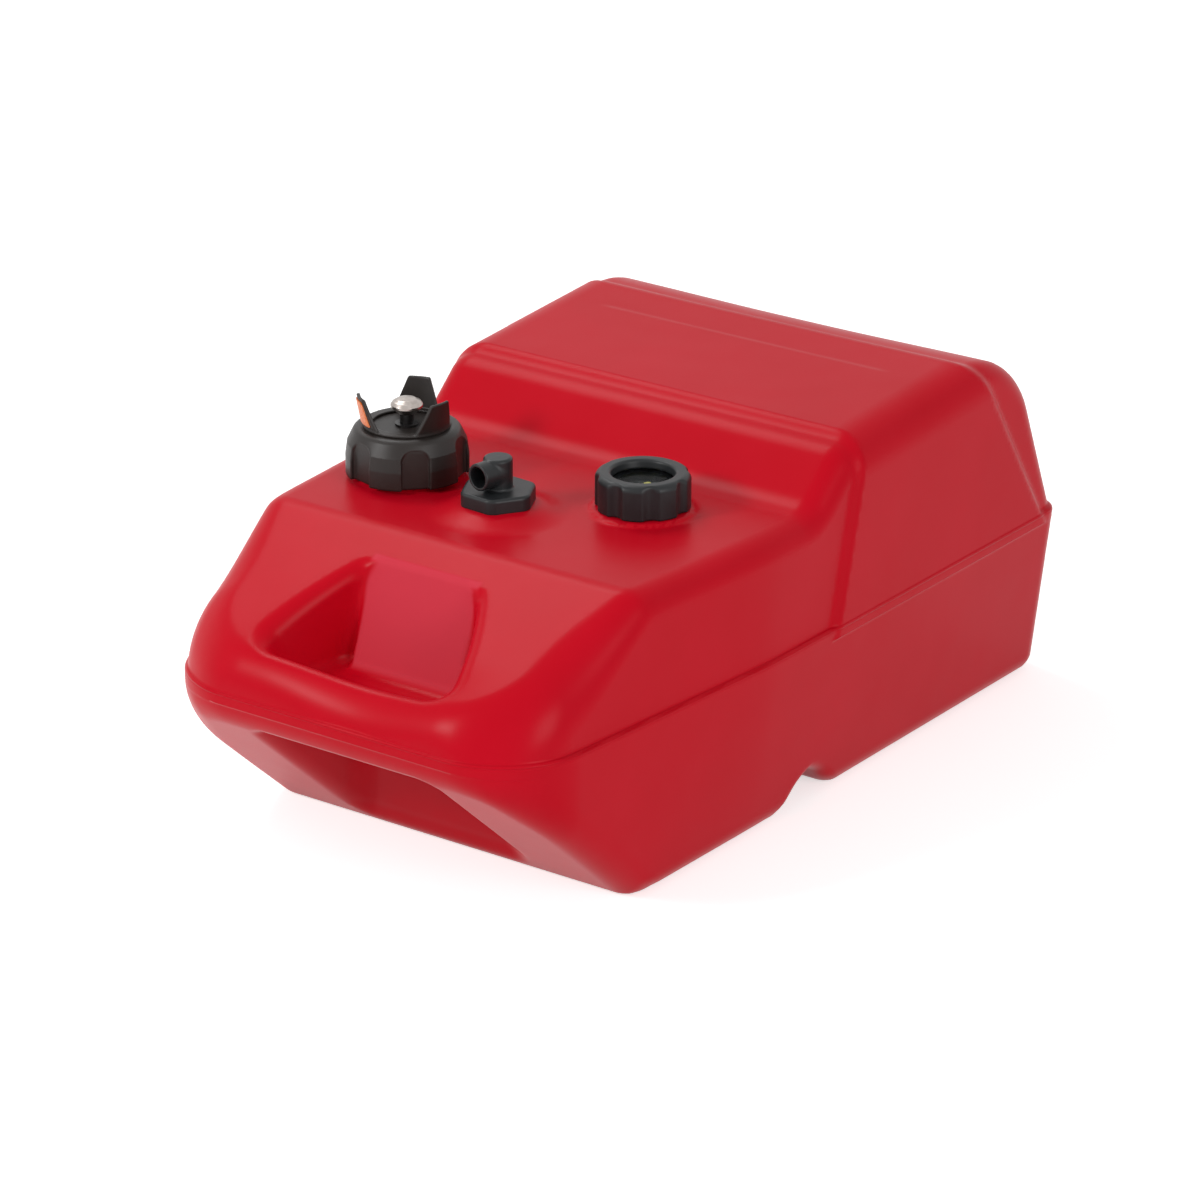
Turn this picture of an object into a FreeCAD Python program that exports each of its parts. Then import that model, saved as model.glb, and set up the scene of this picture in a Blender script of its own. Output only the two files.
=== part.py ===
import FreeCAD, Part
import math
import os
from FreeCAD import Vector, Placement, Rotation

os.makedirs("parts", exist_ok=True)

# Outboard fuel tank. Millimetres, +Z up, the handle end faces -Y.
# The origin is the centre of the tank's length and width, on the surface it stands on.

# Tank shell, overall
tank_length = 570.0
seam_half_width = 158.5
seam_height = 119.0
wall = 4.5
front_taper = 0.083
taper_start_y = -52.0
taper_bend_radius = 400.0
front_corner_radius = 55.0
rear_corner_radius = 20.0

floor_thickness = 7.5

# Tank shell, lower body
base_inset = 14.5
base_front_taper = 0.012
base_edge_radius = 13.0
slope_foot_y = -168.0
slope_rise_per_mm = 0.889
slope_edge_radius = 33.0
groove_middle_y = 8.0
groove_mouth_width = 60.0
groove_roof_width = 14.0
groove_height = 24.0
groove_lip_width = 8.0
groove_roof_radius = 7.0

# Tank shell, upper part
ledge = 4.0
front_ledge = 0.6
deck_height = 198.0
deck_front_y = -168.0
deck_rear_y = -2.0
front_slope_per_mm = 0.479
deck_crease_radius = 25.0
riser_run = 37.0
riser_foot_radius = 28.0
riser_head_radius = 20.0
front_edge_radius = 18.0
band_front_height = 235.0
band_rear_height = 243.0
band_foot_front_y = 18.5
band_head_front_y = 47.7
band_foot_rear_y = 257.0
band_head_rear_y = 177.6
band_edge_radius = 26.0
rear_lean_per_mm = 0.4086
rear_crown_radius = 70.0
rear_edge_radius = 18.0



# Handle pocket from above and finger recess from below; a web between them closes the handle
web_top = 121.5
web_thickness = 5.0
pocket_front_y = -254.0
pocket_rear_y = -203.0
pocket_front_half = 60.0
pocket_rear_half = 50.0
pocket_front_flare = 0.48
pocket_side_flare = 0.28
pocket_rear_lean = 0.24
pocket_rear_draw = 0.06
pocket_corner_radius = 12.0
tongue_half = 42.0
tongue_foot_y = -214.0
tongue_lean = 0.36
recess_half = 54.0
recess_front_y = -256.0
recess_rear_y = -212.0
recess_lip_y = -272.0
recess_lip_height = 97.0
recess_foot_y = -174.8
recess_foot_height = 6.0

# Fittings on the deck
filler_from_side = 66.9
filler_y = -90.8
pickup_x = -8.2
pickup_y = -107.9
gauge_from_side = 97.2
gauge_y = -53.5

# Filler neck and cap
neck_radius = 28.5
neck_bore = 24.0
neck_height = 25.5
neck_root = 31.0
thread_lead = 6.0
thread_turns = 1.25
thread_depth = 1.5
thread_width = 2.0
thread_play = 0.3
thread_below_rim = 6.0
gasket_thickness = 1.0
closure_wall = 2.0
closure_plate = 3.2
cap_gap = 3.0
cap_radius = 38.5
cap_flat_radius = 27.0
cap_top_wall = 3.5
cap_straight = 12.0
cap_shoulder = 20.5
cap_shoulder_in = 1.2
cap_crest_drop = 3.2
cap_crest_in = 4.5
cap_fit = 0.3
scallops = 6
scallop_width = 17.5
scallop_depth = 3.8
scallop_height = 25.5
scallop_first = -44.0

# Vane guard and vent
vane_ring_inner = 21.5
vane_ring_thickness = 1.6
vane_height = 19.4
vane_lean = 3.6
vane_thickness = 2.2
vane_foot_half = 14.5
vane_head_half = 7.0
vane_first = 112.0
insert_thickness = 0.8
insert_margin = 4.5
vent_stem_radius = 3.2
vent_neck_radius = 4.4
vent_travel = 2.5
vent_play = 0.3
vent_button_radius = 10.1
vent_button_foot = 5.2
vent_button_thickness = 10.2
vent_button_height = 7.3
bush_wall = 0.75
bush_flange = 7.5
bush_thickness = 1.2
cage_bore = 6.3
cage_wall = 2.2
cage_depth = 12.2
cage_floor = 2.0
valve_radius = 7.6
valve_thickness = 2.2
clip_thickness = 0.9
vent_spring_wire = 0.7
vent_spring_turns = 3.0

# Pickup fitting
pickup_boss_radius = 33.0
pickup_boss_top = 25.0
pickup_boss_height = 6.0
pickup_bore = 11.4
pickup_foot_radius = 25.0
pickup_foot_height = 9.5
pickup_corner_radius = 4.0
pickup_turn = -54.0
pickup_post_radius = 9.0
pickup_post_height = 20.0
pickup_shank_length = 15.0
pickup_foot_edge = 2.0
pickup_post_edge = 1.8
pickup_passage = 2.6
port_radius = 8.6
port_bore = 6.6
port_depth = 12.0
port_reach = 17.0
port_height = 10.5
port_heading = 10.0
seal_section = 1.6
tube_socket_depth = 11.0
chamber_floor = 1.5
chamber_rise = 4.0
dip_tube_radius = 5.0
dip_tube_bore = 3.6
dip_tube_foot = 16.0
strainer_radius = 8.0
strainer_wall = 1.4
strainer_length = 34.0
strainer_foot = 9.0
strainer_slots = 8
strainer_slot_width = 2.0
strainer_slot_margin = 6.0
ball_radius = 3.4
ball_chamber = 4.0
ball_spring_wire = 0.7
ball_spring_turns = 3.5
ball_seat_rise = 2.25
ball_spring_foot = 4.75

# Gauge
gauge_collar_radius = 32.0
gauge_collar_height = 2.4
gauge_neck_radius = 22.6
gauge_neck_height = 14.4
gauge_bore = 19.2
gauge_gasket_thickness = 0.8
flange_thickness = 1.8
cup_wall = 2.0
cup_depth = 22.6
cup_floor = 2.5
dial_radius = 16.5
dial_thickness = 1.0
dial_drop = 6.0
lens_radius = 21.0
lens_thickness = 2.3
nut_radius = 29.5
nut_lip = 5.4
nut_opening = 19.0
nut_flare = 1.6
nut_lobes = 8
nut_scallop = 7.0
nut_scallop_depth = 2.2
fit = 0.1
running_fit = 0.06
pointer_length = 12.5
pointer_tail = 4.0
pointer_width = 4.0
pointer_thickness = 1.0
pointer_heading = 108.0
shaft_radius = 2.0
pivot_height = 105.0
pivot_pin_radius = 1.6
leg_inner = 14.8
leg_thickness = 2.6
leg_width = 10.0
bridge_rise = 4.0
bridge_width = 8.0
bridge_thickness = 3.0
pinion_teeth = 12
gear_teeth = 18
cone_distance = 16.0
gear_face = 5.0
addendum = 0.9
dedendum = 1.3
hub_radius = 4.0
arm_length = 130.0
arm_radius = 1.5
arm_offset = -5.0
arm_rest = -35.0
arm_bend = 8.0
float_radius = 14.0
float_length = 44.0
float_edge = 3.0

tank_rear_y = tank_length / 2
base_half_width = seam_half_width - base_inset
filler_x = filler_from_side - seam_half_width
gauge_x = seam_half_width - gauge_from_side
deck_roof = deck_height - wall
neck_top = deck_height + neck_height
gauge_seat = deck_height + gauge_neck_height
pickup_seat = deck_height + pickup_boss_height


def on_plan(z):
    return lambda u, v: Vector(u, v, z)


def on_side(x):
    return lambda u, v: Vector(x, u, v)


def inset(points, distances):
    # Moves each side of a polygon inward; a side runs from its point to the next one.
    count = len(points)
    if not isinstance(distances, (list, tuple)):
        distances = [distances] * count
    area = sum(points[i][0] * points[(i + 1) % count][1] - points[(i + 1) % count][0] * points[i][1]
               for i in range(count))
    turn = 1.0 if area > 0 else -1.0
    lines = []
    for i in range(count):
        ax, ay = points[i][:2]
        bx, by = points[(i + 1) % count][:2]
        length = math.hypot(bx - ax, by - ay)
        nx, ny = -(by - ay) / length * turn, (bx - ax) / length * turn
        lines.append((nx, ny, nx * ax + ny * ay + distances[i]))
    moved = []
    for i in range(count):
        a1, b1, c1 = lines[i - 1]
        a2, b2, c2 = lines[i]
        det = a1 * b2 - a2 * b1
        moved.append(((c1 * b2 - c2 * b1) / det, (a1 * c2 - a2 * c1) / det))
    return moved


def rounded(points, radii, place):
    # Closed wire of lines and tangent arcs: each corner of the polygon has its own radius.
    count = len(points)
    corners = []
    for i in range(count):
        px, py = points[i]
        ax, ay = points[i - 1][0] - px, points[i - 1][1] - py
        bx, by = points[(i + 1) % count][0] - px, points[(i + 1) % count][1] - py
        la, lb = math.hypot(ax, ay), math.hypot(bx, by)
        ax, ay, bx, by = ax / la, ay / la, bx / lb, by / lb
        if not radii[i]:
            corners.append((place(px, py), None, place(px, py)))
            continue
        half = math.acos(max(-1.0, min(1.0, ax * bx + ay * by))) / 2.0
        reach = radii[i] / math.tan(half)
        mx, my = ax + bx, ay + by
        lm = math.hypot(mx, my)
        centre = radii[i] / math.sin(half)
        near = centre - radii[i]
        corners.append((place(px + ax * reach, py + ay * reach),
                        place(px + mx / lm * near, py + my / lm * near),
                        place(px + bx * reach, py + by * reach)))
    edges = []
    for i in range(count):
        start, middle, end = corners[i]
        if middle is not None:
            edges.append(Part.Arc(start, middle, end).toShape())
        following = corners[(i + 1) % count][0]
        if end.distanceToPoint(following) > 1e-6:
            edges.append(Part.LineSegment(end, following).toShape())
    return Part.Wire(edges)


def prism(wire, along):
    return Part.Face(wire).extrude(along)


def touching(shape, test):
    return [edge for edge in shape.Edges if test(edge)]


def all_points(edge, test, count=5):
    return all(test(point) for point in edge.discretize(count))


def plan_polygon(half_width, taper, front_y, rear_y, skin):
    front_half = half_width + taper * (front_y - taper_start_y)
    points = [(half_width, taper_start_y), (half_width, rear_y),
              (-half_width, rear_y), (-half_width, taper_start_y),
              (-front_half, front_y), (front_half, front_y)]
    return inset(points, skin)


def plan_wire(half_width, taper, front_y, rear_y, skin, z):
    bend = taper_bend_radius
    rear = rear_corner_radius - skin
    front = front_corner_radius - skin
    points = plan_polygon(half_width, taper, front_y, rear_y, skin)
    return rounded(points, [bend, rear, rear, bend, front, front], on_plan(z))


def plan_block(half_width, taper, front_y, rear_y, skin, low, high):
    wire = plan_wire(half_width, taper, front_y, rear_y, skin, low)
    return prism(wire, Vector(0, 0, high - low))


def side_prism(points, radii, half):
    return prism(rounded(points, radii, on_side(-half)), Vector(2 * half, 0, 0))


def lower_body(skin):
    # Drafted tub from the floor to the seam, with the sloped front and the strap groove.
    front_y, rear_y = -tank_length / 2, tank_length / 2
    low = floor_thickness if skin else 0.0
    high = seam_height - skin
    draft = (seam_half_width - base_half_width) / seam_height
    turn = (front_taper - base_front_taper) / seam_height
    outlines = [plan_wire(base_half_width + draft * z, base_front_taper + turn * z, front_y, rear_y, skin, z)
                for z in (low, high)]
    body = Part.makeLoft(outlines, True, True)
    reach = tank_length
    side = inset([(slope_foot_y - seam_height / slope_rise_per_mm, seam_height), (slope_foot_y, 0.0),
                  (reach, 0.0), (reach, seam_height)], [skin, low, skin, skin])
    body = body.common(side_prism(side, [0] * 4, reach))
    foot_y, foot_z = side[1]

    def on_slope(p):
        return abs((p.z - foot_z) + slope_rise_per_mm * (p.y - foot_y)) < 0.01

    def on_floor(p):
        return abs(p.z - foot_z) < 0.01

    def on_top(p):
        return p.z > side[0][1] - 0.01

    slope_edges = touching(body, lambda e: all_points(e, on_slope) and not all_points(e, on_floor)
                           and not all_points(e, on_top))
    body = body.makeFillet(slope_edge_radius - skin, slope_edges)
    if not skin:
        body = body.makeFillet(base_edge_radius, touching(body, lambda e: all_points(e, on_floor)))
    return body.cut(groove_cutter(skin))


def groove_cutter(skin):
    # Strap groove across the bottom: a trapezoid whose lips are broken in two flat steps.
    half_mouth, half_roof = groove_mouth_width / 2, groove_roof_width / 2
    lip = groove_lip_width
    below = -30.0
    half = [(half_mouth + lip, below), (half_mouth + lip, 0.0), (half_mouth, groove_height * 0.12),
            (half_mouth - lip, groove_height * 0.42), (half_roof, groove_height)]
    points = [(groove_middle_y - u, v) for u, v in half] + [(groove_middle_y + u, v) for u, v in half[::-1]]
    points = inset(points, -skin)
    roof = groove_roof_radius + skin
    return side_prism(points, [0, 0, 0, 0, roof, roof, 0, 0, 0, 0], tank_length)


def crown_height(y):
    rise = (band_rear_height - band_front_height) / (band_head_rear_y - band_head_front_y)
    return band_front_height + rise * (y - band_head_front_y)


def front_block(skin):
    # Front upper part: lip, slope, deck for the fittings and the riser up to the band.
    low = seam_height - skin
    top = crown_height(band_head_front_y) - ledge
    far = 120.0
    body = plan_block(seam_half_width - ledge, front_taper, -tank_length / 2 + front_ledge, far + 40.0,
                      skin, low, top + 10.0)
    outside = -tank_length
    foot = deck_height + (outside - deck_front_y) * front_slope_per_mm
    side = [(outside, -50.0), (outside, foot), (deck_front_y, deck_height), (deck_rear_y, deck_height),
            (deck_rear_y + riser_run, top), (far, top), (far, -50.0)]
    side = inset(side[::-1], [skin, skin, skin, skin, skin, skin, 0.0])
    crease = deck_crease_radius - skin
    riser_foot = riser_foot_radius + skin
    riser_head = riser_head_radius - skin
    side_solid = side_prism(side, [0, 0, riser_head, riser_foot, crease, 0, 0], tank_length)
    body = body.common(side_solid)

    def on_rim(e):
        box = e.BoundBox
        across = box.XLength > seam_half_width and box.YMin > front_limit
        upright = box.XLength < 0.5 and box.YLength < 0.5
        return box.ZMin > low + 1.0 and box.YMin < far - skin - 1.0 and not across and not upright

    front_limit = 10.0 - tank_length / 2
    return body.makeFillet(front_edge_radius - skin, touching(body, on_rim))


def band_block(skin):
    # Raised band across the rear block, flush with the lower body.
    low = seam_height - skin
    half = seam_half_width - skin
    drop = seam_height - low
    front_lean = (band_head_front_y - band_foot_front_y) / (band_front_height - seam_height)
    rear_lean = (band_foot_rear_y - band_head_rear_y) / (band_rear_height - seam_height)
    side = [(band_foot_front_y - drop * front_lean, low), (band_head_front_y, band_front_height),
            (band_head_rear_y, band_rear_height), (band_foot_rear_y + drop * rear_lean, low)]
    side = inset(side[::-1], [skin, skin, skin, 0.0])
    body = side_prism(side, [0] * 4, half)
    ridge = touching(body, lambda e: e.BoundBox.YLength > 60.0 and e.BoundBox.ZMin > low + 60.0)
    return body.makeFillet(band_edge_radius - skin, ridge)


def rear_block(skin):
    # Rear upper part: a little narrower than the band, with a crowned, leaning back.
    low = seam_height - skin
    half = seam_half_width - ledge - skin
    near = 120.0
    foot_y = tank_rear_y - ledge + 1.0
    slope = (band_rear_height - band_front_height) / (band_head_rear_y - band_head_front_y)
    base = crown_height(foot_y) - ledge
    peak = (base + slope * rear_lean_per_mm * seam_height) / (1.0 + slope * rear_lean_per_mm)
    peak_y = foot_y - rear_lean_per_mm * (peak - seam_height)
    side = [(near, seam_height), (foot_y, seam_height), (peak_y, peak), (near, crown_height(near) - ledge)]
    side = inset(side, [-skin, skin, skin, 0.0])
    body = side_prism(side, [0, 0, rear_crown_radius - skin, 0], half)
    chain = touching(body, lambda e: e.BoundBox.XLength < 0.01 and e.BoundBox.ZMax > low + 0.5
                     and e.BoundBox.YMax > near + 0.5)
    return body.makeFillet(rear_edge_radius - skin, chain)


def pocket_cutter(skin):
    # Room over the web behind the handle bar, flared to the front and sides, less the tongue.
    low, high = web_top - skin, deck_height + 12.0
    rise = high - low
    front, rear = pocket_front_y - skin, pocket_rear_y + skin
    front_half, rear_half = pocket_front_half + skin, pocket_rear_half + skin
    radius = pocket_corner_radius
    outlines = []
    for height in (0.0, rise):
        wide = front_half + pocket_side_flare * height
        narrow = rear_half - pocket_rear_draw * height
        ahead = front - pocket_front_flare * height
        behind = rear + pocket_rear_lean * height
        outlines.append(rounded([(wide, ahead), (narrow, behind), (-narrow, behind), (-wide, ahead)],
                                [radius] * 4, on_plan(low + height)))
    room = Part.makeLoft(outlines, True, True)
    foot = tongue_foot_y + skin - tongue_lean * 20.0
    head = tongue_foot_y + skin + tongue_lean * (high - low)
    side = [(foot, low - 20.0), (-100.0, low - 20.0), (-100.0, high + 5.0), (head, high + 5.0)]
    tongue = side_prism(side, [0] * 4, tongue_half - skin)
    return room.cut(tongue)


def recess_cutter(skin):
    # Finger room under the handle bar, cut into the sloped front from below.
    roof = web_top - web_thickness
    outside = -tank_length
    side = [(recess_front_y, roof), (recess_lip_y, recess_lip_height), (outside, recess_lip_height),
            (outside, recess_foot_height), (recess_foot_y, recess_foot_height), (recess_rear_y, roof)]
    side = inset(side, -skin)
    return side_prism(side, [8.0, 5.0, 0, 0, 0, 10.0], recess_half + skin)


def tank_form(skin):
    body = lower_body(skin)
    for block in (front_block(skin), band_block(skin), rear_block(skin)):
        body = body.fuse(block)
    body = body.cut(pocket_cutter(skin)).cut(recess_cutter(skin))
    return body


def cylinder(radius, low, high, x, y):
    return Part.makeCylinder(radius, high - low, Vector(x, y, low))


def ring(outer, inner, low, high, x, y):
    return cylinder(outer, low, high, x, y).cut(cylinder(inner, low - 1.0, high + 1.0, x, y))


def lathe(points, x, y):
    # Solid of revolution about an upright axis, from (radius, height) corners.
    wire = Part.makePolygon([Vector(r, 0, z) for r, z in points + points[:1]])
    turned = Part.Face(wire).revolve(Vector(0, 0, 0), Vector(0, 0, 1), 360)
    turned.translate(Vector(x, y, 0))
    return turned


def turned_about(shape, degrees, x, y):
    copy = shape.copy()
    copy.rotate(Vector(x, y, 0), Vector(0, 0, 1), degrees)
    return copy


def helix_path(radius, lead, turns, start_z, x, y, handed=1.0):
    # Rising helix as arcs of a quarter turn, each through the helix's own middle point.
    def point(turn):
        angle = handed * turn * 2.0 * math.pi
        return Vector(x + radius * math.cos(angle), y + radius * math.sin(angle), start_z + lead * turn)

    steps = int(round(turns * 4))
    return Part.Wire([Part.Arc(point(i / 4), point((i + 0.5) / 4), point((i + 1) / 4)).toShape()
                      for i in range(steps)])


def coil(radius, wire_radius, low, high, turns, x, y):
    # Open compression spring between two seats, one unbroken round wire.
    lead = (high - low - 2.0 * wire_radius) / turns
    path = helix_path(radius, lead, turns, low + wire_radius, x, y)
    start = path.Edges[0].valueAt(path.Edges[0].FirstParameter)
    tangent = path.Edges[0].tangentAt(path.Edges[0].FirstParameter)
    section = Part.Wire([Part.Circle(start, tangent, wire_radius).toShape()])
    return Part.Solid(path.makePipeShell([section], True, False))


def thread_ridge(root, tip, start_z):
    # Buttress-like ridge wound once and a quarter round the filler axis.
    path = helix_path((root + tip) / 2.0, thread_lead, thread_turns, start_z, 0, 0)
    half = thread_width / 2.0
    crest = half * 0.55
    profile = Part.makePolygon([Vector(root, 0, start_z - half), Vector(tip, 0, start_z - crest),
                                Vector(tip, 0, start_z + crest), Vector(root, 0, start_z + half),
                                Vector(root, 0, start_z - half)])
    ridge = Part.Solid(path.makePipeShell([profile], True, True))
    ridge.translate(Vector(filler_x, filler_y, 0))
    return ridge


def neck_thread():
    low = neck_top - 6.0 - thread_lead * thread_turns
    return thread_ridge(neck_radius - 0.4, neck_radius + thread_depth, low)


def tank_shell():
    shell = tank_form(0.0).cut(tank_form(wall))
    neck = cylinder(neck_radius, deck_roof + 0.5, neck_top, filler_x, filler_y)
    neck = neck.fuse(cylinder(neck_root, deck_roof + 0.5, deck_height + 2.0, filler_x, filler_y))
    neck = neck.fuse(neck_thread())
    embed = deck_roof + 0.5
    boss = lathe([(0, embed), (pickup_boss_radius, embed), (pickup_boss_radius, deck_height),
                  (pickup_boss_radius - 3.5, deck_height + pickup_boss_height * 0.6),
                  (pickup_boss_top, pickup_seat), (0, pickup_seat)], pickup_x, pickup_y)
    collar = lathe([(0, embed), (gauge_collar_radius, embed), (gauge_collar_radius, deck_height + 1.2),
                    (gauge_collar_radius - 2.0, deck_height + gauge_collar_height),
                    (gauge_neck_radius, deck_height + gauge_collar_height),
                    (gauge_neck_radius, gauge_seat), (0, gauge_seat)], gauge_x, gauge_y)
    shell = shell.fuse(neck).fuse(boss).fuse(collar)
    for radius, x, y in ((neck_bore, filler_x, filler_y), (pickup_bore, pickup_x, pickup_y),
                         (gauge_bore, gauge_x, gauge_y)):
        shell = shell.cut(cylinder(radius, deck_roof - 5.0, deck_height + 60.0, x, y))
    return shell


def closure_thread():
    low = neck_top - thread_below_rim - thread_lead * thread_turns - thread_width - thread_play
    bore = neck_radius + thread_depth + thread_play
    return thread_ridge(bore + 0.4, neck_radius + thread_play, low)


def sector_prism(half_low, half_high, low, high, reach):
    # Upright trapezoid facing +X, pushed outward from the axis.
    wire = rounded([(-half_low, low), (half_low, low), (half_high, high), (-half_high, high)],
                   [0, 0, min(3.0, half_high * 0.5), min(3.0, half_high * 0.5)],
                   lambda u, v: Vector(0, u, v))
    return prism(wire, Vector(reach, 0, 0))


cap_foot = deck_height + cap_gap
plate_low = neck_top + gasket_thickness + 2 * fit
plate_high = plate_low + closure_plate
cap_top = plate_high + fit + cap_top_wall
closure_bore = neck_radius + thread_depth + thread_play
closure_outer = closure_bore + closure_wall
cage_low = plate_low - cage_depth
guard_low = cap_top + fit / 2
guard_high = guard_low + vane_ring_thickness


def cap_gasket():
    return ring(closure_bore - cap_fit, neck_bore + 0.3, neck_top + fit, plate_low - fit, filler_x, filler_y)


def cap_closure():
    body = cylinder(closure_outer, cap_foot + 2.0, plate_high, filler_x, filler_y)
    body = body.cut(cylinder(closure_bore, cap_foot, plate_low, filler_x, filler_y))
    body = body.fuse(cylinder(cage_bore + cage_wall, cage_low, plate_low + 0.5, filler_x, filler_y))
    body = body.cut(cylinder(cage_bore, cage_low + cage_floor, plate_low, filler_x, filler_y))
    body = body.cut(cylinder(vent_stem_radius + vent_play, cage_low - 1.0, plate_high + 1.0,
                             filler_x, filler_y))
    return body.fuse(closure_thread())


def cap_shell():
    inner = closure_outer + cap_fit
    under = plate_high + fit
    bush = vent_neck_radius + fit + bush_wall + fit
    body = lathe([(inner, cap_foot), (cap_radius, cap_foot), (cap_radius, cap_foot + cap_straight),
                  (cap_radius - cap_shoulder_in, cap_foot + cap_shoulder),
                  (cap_radius - cap_crest_in, cap_top - cap_crest_drop),
                  (cap_radius - cap_crest_in - 3.0, cap_top - 0.6), (cap_flat_radius, cap_top),
                  (bush, cap_top), (bush, under), (inner, under)], filler_x, filler_y)
    half = scallop_width / 2
    floor = cap_radius - scallop_depth
    low, spring = cap_foot - 2.0, cap_foot + scallop_height - half * 0.75
    arch = Part.Wire([Part.LineSegment(Vector(floor, -half, low), Vector(floor, half, low)).toShape(),
                      Part.LineSegment(Vector(floor, half, low), Vector(floor, half, spring)).toShape(),
                      Part.Arc(Vector(floor, half, spring), Vector(floor, 0, cap_foot + scallop_height),
                               Vector(floor, -half, spring)).toShape(),
                      Part.LineSegment(Vector(floor, -half, spring), Vector(floor, -half, low)).toShape()])
    cutter = prism(arch, Vector(20, 0, 0))
    cutter.translate(Vector(filler_x, filler_y, 0))
    for i in range(scallops):
        body = body.cut(turned_about(cutter, scallop_first + 360.0 / scallops * i, filler_x, filler_y))
    return body


def cone_shell(low_radius, high_radius, low, high, thickness):
    outer = Part.makeCone(low_radius, high_radius, high - low, Vector(0, 0, low))
    inner = Part.makeCone(low_radius - thickness, high_radius - thickness, high - low, Vector(0, 0, low))
    return outer.cut(inner)


def vane_guard():
    foot_radius = cap_flat_radius + 0.4
    top = guard_high + vane_height
    wall_of_vanes = cone_shell(foot_radius, foot_radius + vane_lean, guard_high - 0.4, top, vane_thickness)
    slab = sector_prism(vane_foot_half, vane_head_half, guard_high - 0.4, top, 60.0)
    guard = ring(foot_radius, vane_ring_inner, guard_low, guard_high, 0, 0)
    for i in range(3):
        guard = guard.fuse(wall_of_vanes.common(turned_about(slab, vane_first + 120.0 * i, 0, 0)))
    guard.translate(Vector(filler_x, filler_y, 0))
    return guard


def vane_insert():
    foot_radius = cap_flat_radius + 0.4
    top = guard_high + vane_height
    foot = foot_radius + insert_thickness + fit / 2
    skin = cone_shell(foot, foot + vane_lean, guard_high - 0.4, top, insert_thickness)
    share = insert_margin / vane_height
    spread = vane_foot_half - vane_head_half
    slab = sector_prism(vane_foot_half - spread * share - insert_margin / 2,
                        vane_head_half + spread * share - insert_margin / 2,
                        guard_high + insert_margin / 2, top - 2.0, 60.0)
    piece = skin.common(turned_about(slab, vane_first + 120.0, 0, 0))
    piece.translate(Vector(filler_x, filler_y, 0))
    return piece


button_low = cap_top + vent_button_height
button_high = button_low + vent_button_thickness
collar_high = plate_low - 1.8
collar_low = collar_high - 1.2


def vent_bush():
    bore = vent_neck_radius + fit
    return lathe([(bore, plate_high + fit + 0.1), (bore + bush_wall, plate_high + fit + 0.1),
                  (bore + bush_wall, cap_top + fit / 2), (bush_flange, cap_top + fit / 2),
                  (bush_flange, cap_top + bush_thickness), (bore, cap_top + bush_thickness)],
                 filler_x, filler_y)


def vent_stem():
    body = cylinder(vent_stem_radius, cage_low - valve_thickness - clip_thickness - 1.2, plate_high + 3.0,
                    filler_x, filler_y)
    body = body.fuse(cylinder(vent_neck_radius, plate_high + vent_travel + 0.3, button_low - fit / 2,
                              filler_x, filler_y))
    return body.fuse(cylinder(cage_bore - 0.4, collar_low, collar_high, filler_x, filler_y))


def vent_button():
    low, high, radius = button_low, button_high, vent_button_radius
    body = lathe([(0, low), (vent_button_foot, low), (radius, low + 4.4), (radius, low + 6.0),
                  (radius - 1.3, high - 2.4), (radius - 4.2, high - 0.7), (0, high)], filler_x, filler_y)
    rims = touching(body, lambda e: low + 0.5 < e.BoundBox.ZMin and e.BoundBox.ZLength < 0.01)
    return body.makeFillet(0.7, rims)


def vent_spring():
    return coil((vent_stem_radius + cage_bore) / 2, vent_spring_wire / 2, cage_low + cage_floor + fit / 2,
                collar_low - fit / 2, vent_spring_turns, filler_x, filler_y)


def vent_valve():
    top = cage_low - fit / 2
    return ring(valve_radius, vent_stem_radius + fit / 2, top - valve_thickness, top, filler_x, filler_y)


def vent_clip():
    top = cage_low - fit - valve_thickness
    return ring(vent_stem_radius + 2.2, vent_stem_radius + fit / 2, top - clip_thickness, top,
                filler_x, filler_y)


pickup_low = pickup_seat + 0.15
post_low = pickup_low + pickup_foot_height
post_high = post_low + pickup_post_height
shank_low = pickup_low - pickup_shank_length
port_z = post_low + port_height
tube_socket = shank_low + tube_socket_depth
chamber_low = tube_socket + chamber_floor
chamber_high = post_low + chamber_rise


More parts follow.
